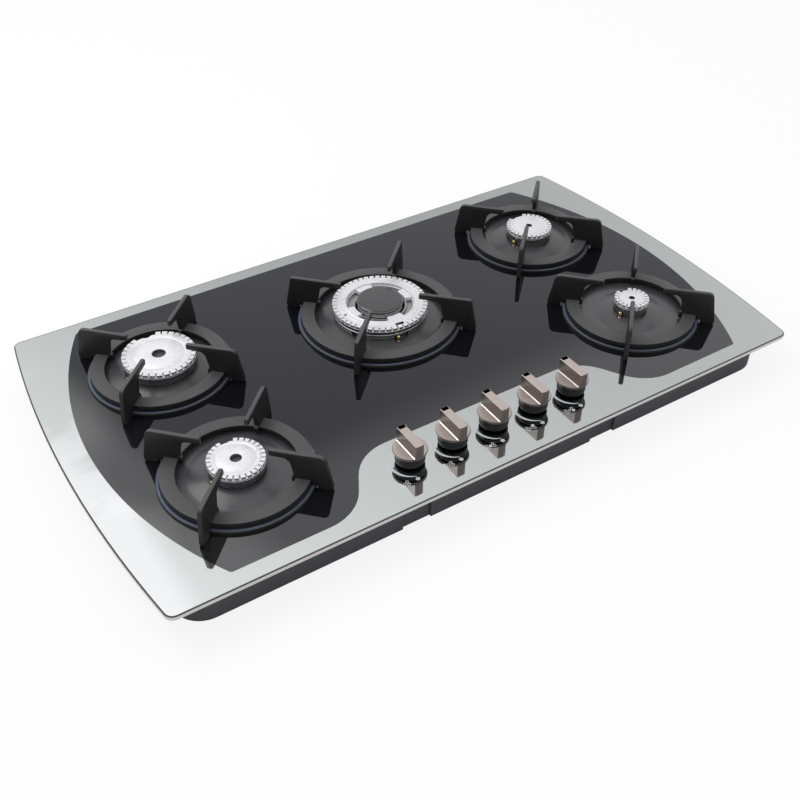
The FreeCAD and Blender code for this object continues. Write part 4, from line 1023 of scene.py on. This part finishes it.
class COOKTOP_OT_supports(bpy.types.Operator):
    """Build the five pan supports"""

    bl_idname = "cooktop.supports"
    bl_label = "Pan supports"

    def execute(self, context):
        look = context.scene.cooktop_burners
        half = look.arm_thickness / MM / 2
        up = GLASS_TOP
        for name, (across, along, _, rim, _, _, _, _) in BURNERS.items():
            tip = 52 if name == "middle" else 38
            ring_in, ring_out = rim - 22.5, rim - 5
            plan = rounded([
                (tip, 37.5, 1.6), (tip, 46, 2.6), (rim + 12, 46, 3 if name == "middle" else 8),
                            (rim + 20, 4, 4), (rim + 18.5, 0, 1.2),
                (rim + 2.5, 0, 0.8), (rim + 1.6, 4.3, 0.8), (ring_in - 4.5, 4.3, 1.0),
                            (ring_in - 4.5, 12.0, 1.5), (ring_in - 1.5, 14.0, 1.0),
                (ring_in - 5, 32.5, 5), (ring_in - 10, 37.5, 5)], 5)
            plan = [(x, y) for x, y, _ in plan]
            loops = []
            for side in (-1, -0.93, -0.80, -0.62, -0.35, 0.35, 0.62, 0.80, 0.93, 1):
                y = side * half
                edge = max(abs(y) - (half - 0.9), 0)
                common = 0.9 - math.sqrt(max(0.81 - edge * edge, 0))
                nose = half - math.sqrt(max(half * half - y * y, 0))
                inner = shrunk(plan, 1.0)
                loop = []
                for (px, pz), (ix, iz) in zip(plan, inner):
                    at_tip = max(0.0, min(1.0, (tip + 5 - px) / 4))
                    inset = common + (nose * 0.85 - common) * at_tip if nose * 0.85 > common else common
                    loop.append((px + (ix - px) * inset, y, pz + (iz - pz) * inset))
                loops.append(loop)
            arm = Form("support_enamel").loft(loops).piece(f"arm_{name}", None, None, sharp=40)
            arms = copied_round(arm, 4, (across, along, up), math.radians(45), surface="support_enamel")
            ring = rounded([(ring_in, up + 4, 1.5), (ring_out, up + 4, 0.8), (ring_out, up + 10.7, 0.9),
                            (ring_in, up + 11, 0.9)], 5)
            whole = Form("support_enamel").turned(ring, across, along, 144).piece(f"support_{name}", None,
                                                                                  None)
            joined(whole, arms)
            whole.data.set_sharp_from_angle(angle=math.radians(40))
            dress(whole, f"support_{name}", [f"pan_support_{name}"])
        return {"FINISHED"}


# ---- knobs


class COOKTOP_OT_knobs(bpy.types.Operator):
    """Build the knob caps and their skirts"""

    bl_idname = "cooktop.knobs"
    bl_label = "Knobs"

    def execute(self, context):
        look = context.scene.cooktop_knobs
        edge = look.edge / MM
        up = GLASS_TOP
        for number, across in KNOBS.items():
            disc = rounded([(4.02, up + 16.5, 0, 1), (19.4, up + 16.5, 0.3, 1), (19.7, up + 17.6, 0.2, 1),
                            (19.1, up + 17.9, 0, 1),
                            (19.1, up + 18.2, 0, 1), (20, up + 18.5, 0.1, 1), (20, up + 19.5, 0, 1),
                            (19.5, up + 20, 0, 0), (4.02, up + 20, 0, 0)], 3)
            cap = Form("knob_metal", "knob_side_painted_shade", "knob_foot_painted_highlight", "notch_shade").turned(disc, across, KNOB_ROW,
                                                                                     128)
            wide, notch, deep = 5.4, 4.0, 5.2
            start, rear = math.asin(wide / KNOB_RADIUS), math.asin(notch / KNOB_RADIUS)
            behind = [rear + (start - rear) * i / 3 for i in range(4)]
            before = [start - 2 * start * i / 12 for i in range(13)]
            plan = [(KNOB_RADIUS * math.sin(turn), KNOB_RADIUS * math.cos(turn)) for turn in behind]
            plan += [(KNOB_RADIUS * math.sin(turn), -KNOB_RADIUS * math.cos(turn)) for turn in before]
            plan += [(-x, y) for x, y in plan[3::-1]]
            plan += [(-notch, KNOB_RADIUS - deep), (notch, KNOB_RADIUS - deep)]
            place = lambda loop, z: [(across + x, KNOB_ROW + y, up + z) for x, y in loop]
            # the bar's sides take the darker side finish, painted shade
            cap.loft([place(plan, 19.6), place(plan, 38 - edge), place(shrunk(plan, edge), 38)], tags=[1, 0])
            for face in cap.mesh.faces:
                spot = face.calc_center_median()
                between = abs(spot.x - across) < notch + 0.01 and 14 < spot.y - KNOB_ROW < 19.6
                if between and up + 20 < spot.z < up + 37.9:
                    face.material_index = 3
            # a bright strip at the foot of each side of the bar is a painted highlight
            for side in (-1, 1):
                foot = [(side * (wide + 1.1), 20), (side * (wide + 0.3), 20.3), (side * (wide - 0.3), 21.1),
                        (side * (wide - 0.3), 20)]
                ends = [math.sqrt(19.6 ** 2 - x ** 2) for x, _ in foot]
                cap.loft([[(across + x, KNOB_ROW + way * end, up + z - 0.02) for (x, z),
                           end in zip(foot, ends)] for way in (-1, 1)],
                         tags=[2], cap_tag=2)
            cap.piece(f"cap_{number}", f"knob_{number}", "knob_metal", [f"knob_cap_{number}"])
            low = up + 3
            skirt = rounded([(4.02, low, 0), (16.2, low, 0.5), (17.3, low + 1.4, 1.2), (17.5, low + 5.4, 0.8),
                             (16.8, low + 5.9, 0.3),
                             (16.8, low + 6.5, 0.3), (17.5, low + 7.0, 0.8), (17.4, up + 15.4, 1.0),
                             (16.6, up + 16.5, 0.4), (4.02, up + 16.5, 0)], 4)
            Form("skirt_plastic").turned(skirt, across, KNOB_ROW, 96).piece(
                f"skirt_{number}", f"knob_{number}", "skirt_plastic", [f"knob_skirt_{number}"])
        return {"FINISHED"}


class COOKTOP_OT_marks(bpy.types.Operator):
    """Print the arcs, flame dots and burner position circles round the knobs"""

    bl_idname = "cooktop.marks"
    bl_label = "Printed marks"

    def execute(self, context):
        ring = context.scene.cooktop_knobs.ring_radius / MM
        form = Form("print_white", "port_shade_and_print")
        low, high = GLASS_TOP - 0.02, GLASS_TOP + 0.05

        def band(x, y, inner, outer, count=64, tag=0):
            form.turned([(inner, low, tag), (outer, low, tag), (outer, high, tag), (inner, high, tag)], x, y,
                        count)

        def dot(x, y, radius, top=high, tag=0):
            form.turned([(0, low, tag), (radius, low, tag), (radius, top, tag), (0, top, tag)], x, y, 24,
                        closed=False)

        filled = {1: 1, 2: 0, 3: 4, 4: 2, 5: 3}
        places = [(-4.4, 2.1), (-4.4, -2.1), (4.4, 2.1), (4.4, -2.1), (0, 0)]
        for number, across in KNOBS.items():
            rows = []
            for step in range(49):
                turn = math.radians(112 + 140 * step / 48)
                half = 0.15 + 1.3 * math.sin(math.pi * step / 48) ** 1.3 + 0.30 * step / 48
                places_cut = ((ring - half, low), (ring + half, low), (ring + half, high),
                              (ring - half, high))
                rows.append([(across + 0.4 + r * math.cos(turn), KNOB_ROW - 1.0 + r * math.sin(turn), z)
                             for r, z in places_cut])
            form.loft(rows)
            dot(across - 28.6, KNOB_ROW + 1.0, 1.3)
            x, y = across - 7.8, KNOB_ROW - 28.4
            dot(x, y, 2.5)
            flame = rounded([(x - 0.5, y - 0.6, 0.4), (x + 0.5, y - 0.6, 0.4), (x + 0.6, y + 0.1, 0.3),
                             (x + 0.1, y + 1.0, 0.05), (x - 0.2, y + 0.3, 0.1), (x - 0.6, y + 0.1, 0.2)], 3)
            # the flame mark is dark print
            form.loft([[(px, py, z) for px, py, _ in flame] for z in (low, high + 0.03)], tags=[1], cap_tag=1)
            for index, (dx, dy) in enumerate(places):
                x, y = across - 25.1 + dx, KNOB_ROW - 28.4 + dy
                if index == filled[number]:
                    dot(x, y, 2.0)
                else:
                    band(x, y, 1.3, 1.9, 24)
        form.piece("printed_marks", "hob", "coated_glass")
        return {"FINISHED"}


# ---- stage


class COOKTOP_OT_stage(bpy.types.Operator):
    """Set the floor, the light and the camera"""

    bl_idname = "cooktop.stage"
    bl_label = "Stage"

    def execute(self, context):
        look = context.scene.cooktop_stage
        scene = context.scene
        scene.view_settings.view_transform = "Standard"

        nodes = new_finish("floor")
        shader = nodes.tree.nodes["Principled BSDF"]
        shader.inputs["Base Color"].default_value = (*look.floor, 1)
        shader.inputs["Roughness"].default_value = 0.9
        shader.inputs["Specular IOR Level"].default_value = 0.0
        rays = nodes.tree.nodes.new("ShaderNodeLightPath")
        seen = Socket(nodes, rays.outputs["Is Camera Ray"]) * 0.84
        glow = nodes.add("Emission", None, {"Color": (1, 1, 1, 1), "Strength": 1.01})
        mixed = nodes.add("MixShader", None, {0: seen, 1: Socket(nodes, shader.outputs[0]), 2: glow})
        nodes.tree.links.new(mixed.socket, nodes.tree.nodes["Material Output"].inputs["Surface"])
        wide = 6
        mesh = bpy.data.meshes.new("floor")
        mesh.from_pydata([(-wide, -wide, 0), (wide, -wide, 0), (wide, wide, 0), (-wide, wide, 0)], [],
                         [(0, 1, 2, 3)])
        mesh.materials.append(FINISHES["floor"])
        ground = bpy.data.objects.new("floor", mesh)
        scene.collection.objects.link(ground)

        world = bpy.data.worlds.new("soft_room")
        world.use_nodes = True
        scene.world = world
        nodes = Nodes(world.node_tree)
        rays = world.node_tree.nodes.new("ShaderNodeLightPath")
        seen = [Socket(nodes, rays.outputs[name]) for name in ("Is Camera Ray", "Is Glossy Ray",
                                                               "Is Transmission Ray")]
        clear = nodes.add("Math", {"operation": "MINIMUM"}, {0: seen[0] + seen[1] + seen[2], 1: 1.0})
        back = world.node_tree.nodes["Background"]
        back.inputs["Color"].default_value = (1, 1, 1, 1)
        strength = look.soft_light + clear * (1 - look.soft_light)
        world.node_tree.links.new(strength.socket, back.inputs["Strength"])

        lamp = bpy.data.lights.new("soft_lamp", "AREA")
        lamp.shape, lamp.size, lamp.size_y, lamp.energy = "RECTANGLE", 1.6, 1.2, look.lamp
        lit = bpy.data.objects.new("soft_lamp", lamp)
        scene.collection.objects.link(lit)
        lit.location = (-0.9, 0.9, 1.9)
        lit.rotation_euler = (Vector((0, 0, 0)) - lit.location).to_track_quat("-Z", "Y").to_euler()

        turn, rise, roll = math.radians(-32.5206), math.radians(40.2889), math.radians(0.18165)
        target, far = Vector((-68.985, -101.146, GLASS_TOP)) * MM, 1204.094 * MM
        ahead = -Vector((math.sin(turn) * math.cos(rise), -math.cos(turn) * math.cos(rise), math.sin(rise)))
        right = ahead.cross(Vector((0, 0, 1))).normalized()
        above = right.cross(ahead)
        level = right * math.cos(roll) + above * math.sin(roll)
        upright = above * math.cos(roll) - right * math.sin(roll)
        view = bpy.data.cameras.new("photo_view")
        view.sensor_width, view.lens, view.clip_start, view.clip_end = 36.0, 45.168, 0.05, 50.0
        camera = bpy.data.objects.new("photo_view", view)
        scene.collection.objects.link(camera)
        camera.matrix_world = Matrix.Translation(target - ahead * far) @ Matrix((level, upright,
                                                                                 -ahead)).transposed().to_4x4()
        scene.camera = camera
        return {"FINISHED"}


class COOKTOP_PT_looks(bpy.types.Panel):
    """Lists the steps that build the cooktop"""

    bl_idname = "COOKTOP_PT_looks"
    bl_label = "Gas cooktop"
    bl_space_type = "VIEW_3D"
    bl_region_type = "UI"
    bl_category = "Cooktop"

    def draw(self, context):
        for group in ("glass", "burners", "knobs", "stage"):
            settings = getattr(context.scene, f"cooktop_{group}")
            box = self.layout.box()
            for name in settings.bl_rna.properties.keys():
                if name not in ("rna_type", "name"):
                    box.prop(settings, name)
        for step in STEPS:
            self.layout.operator(step.bl_idname)


GROUPS = {"glass": CooktopGlass, "burners": CooktopBurners, "knobs": CooktopKnobs, "stage": CooktopStage}
STEPS = (COOKTOP_OT_surfaces, COOKTOP_OT_glass, COOKTOP_OT_trays, COOKTOP_OT_side_heads,
         COOKTOP_OT_middle_burner,
         COOKTOP_OT_probes, COOKTOP_OT_supports, COOKTOP_OT_knobs, COOKTOP_OT_marks, COOKTOP_OT_stage)


def register():
    for group in (*GROUPS.values(), *STEPS, COOKTOP_PT_looks):
        bpy.utils.register_class(group)
    for name, group in GROUPS.items():
        setattr(bpy.types.Scene, f"cooktop_{name}", PointerProperty(type=group))


def unregister():
    for name in GROUPS:
        delattr(bpy.types.Scene, f"cooktop_{name}")
    for group in (COOKTOP_PT_looks, *reversed(STEPS), *GROUPS.values()):
        bpy.utils.unregister_class(group)


def main():
    register()
    for step in STEPS:
        getattr(bpy.ops.cooktop, step.bl_idname.split(".")[1])()


if __name__ == "__main__":
    main()
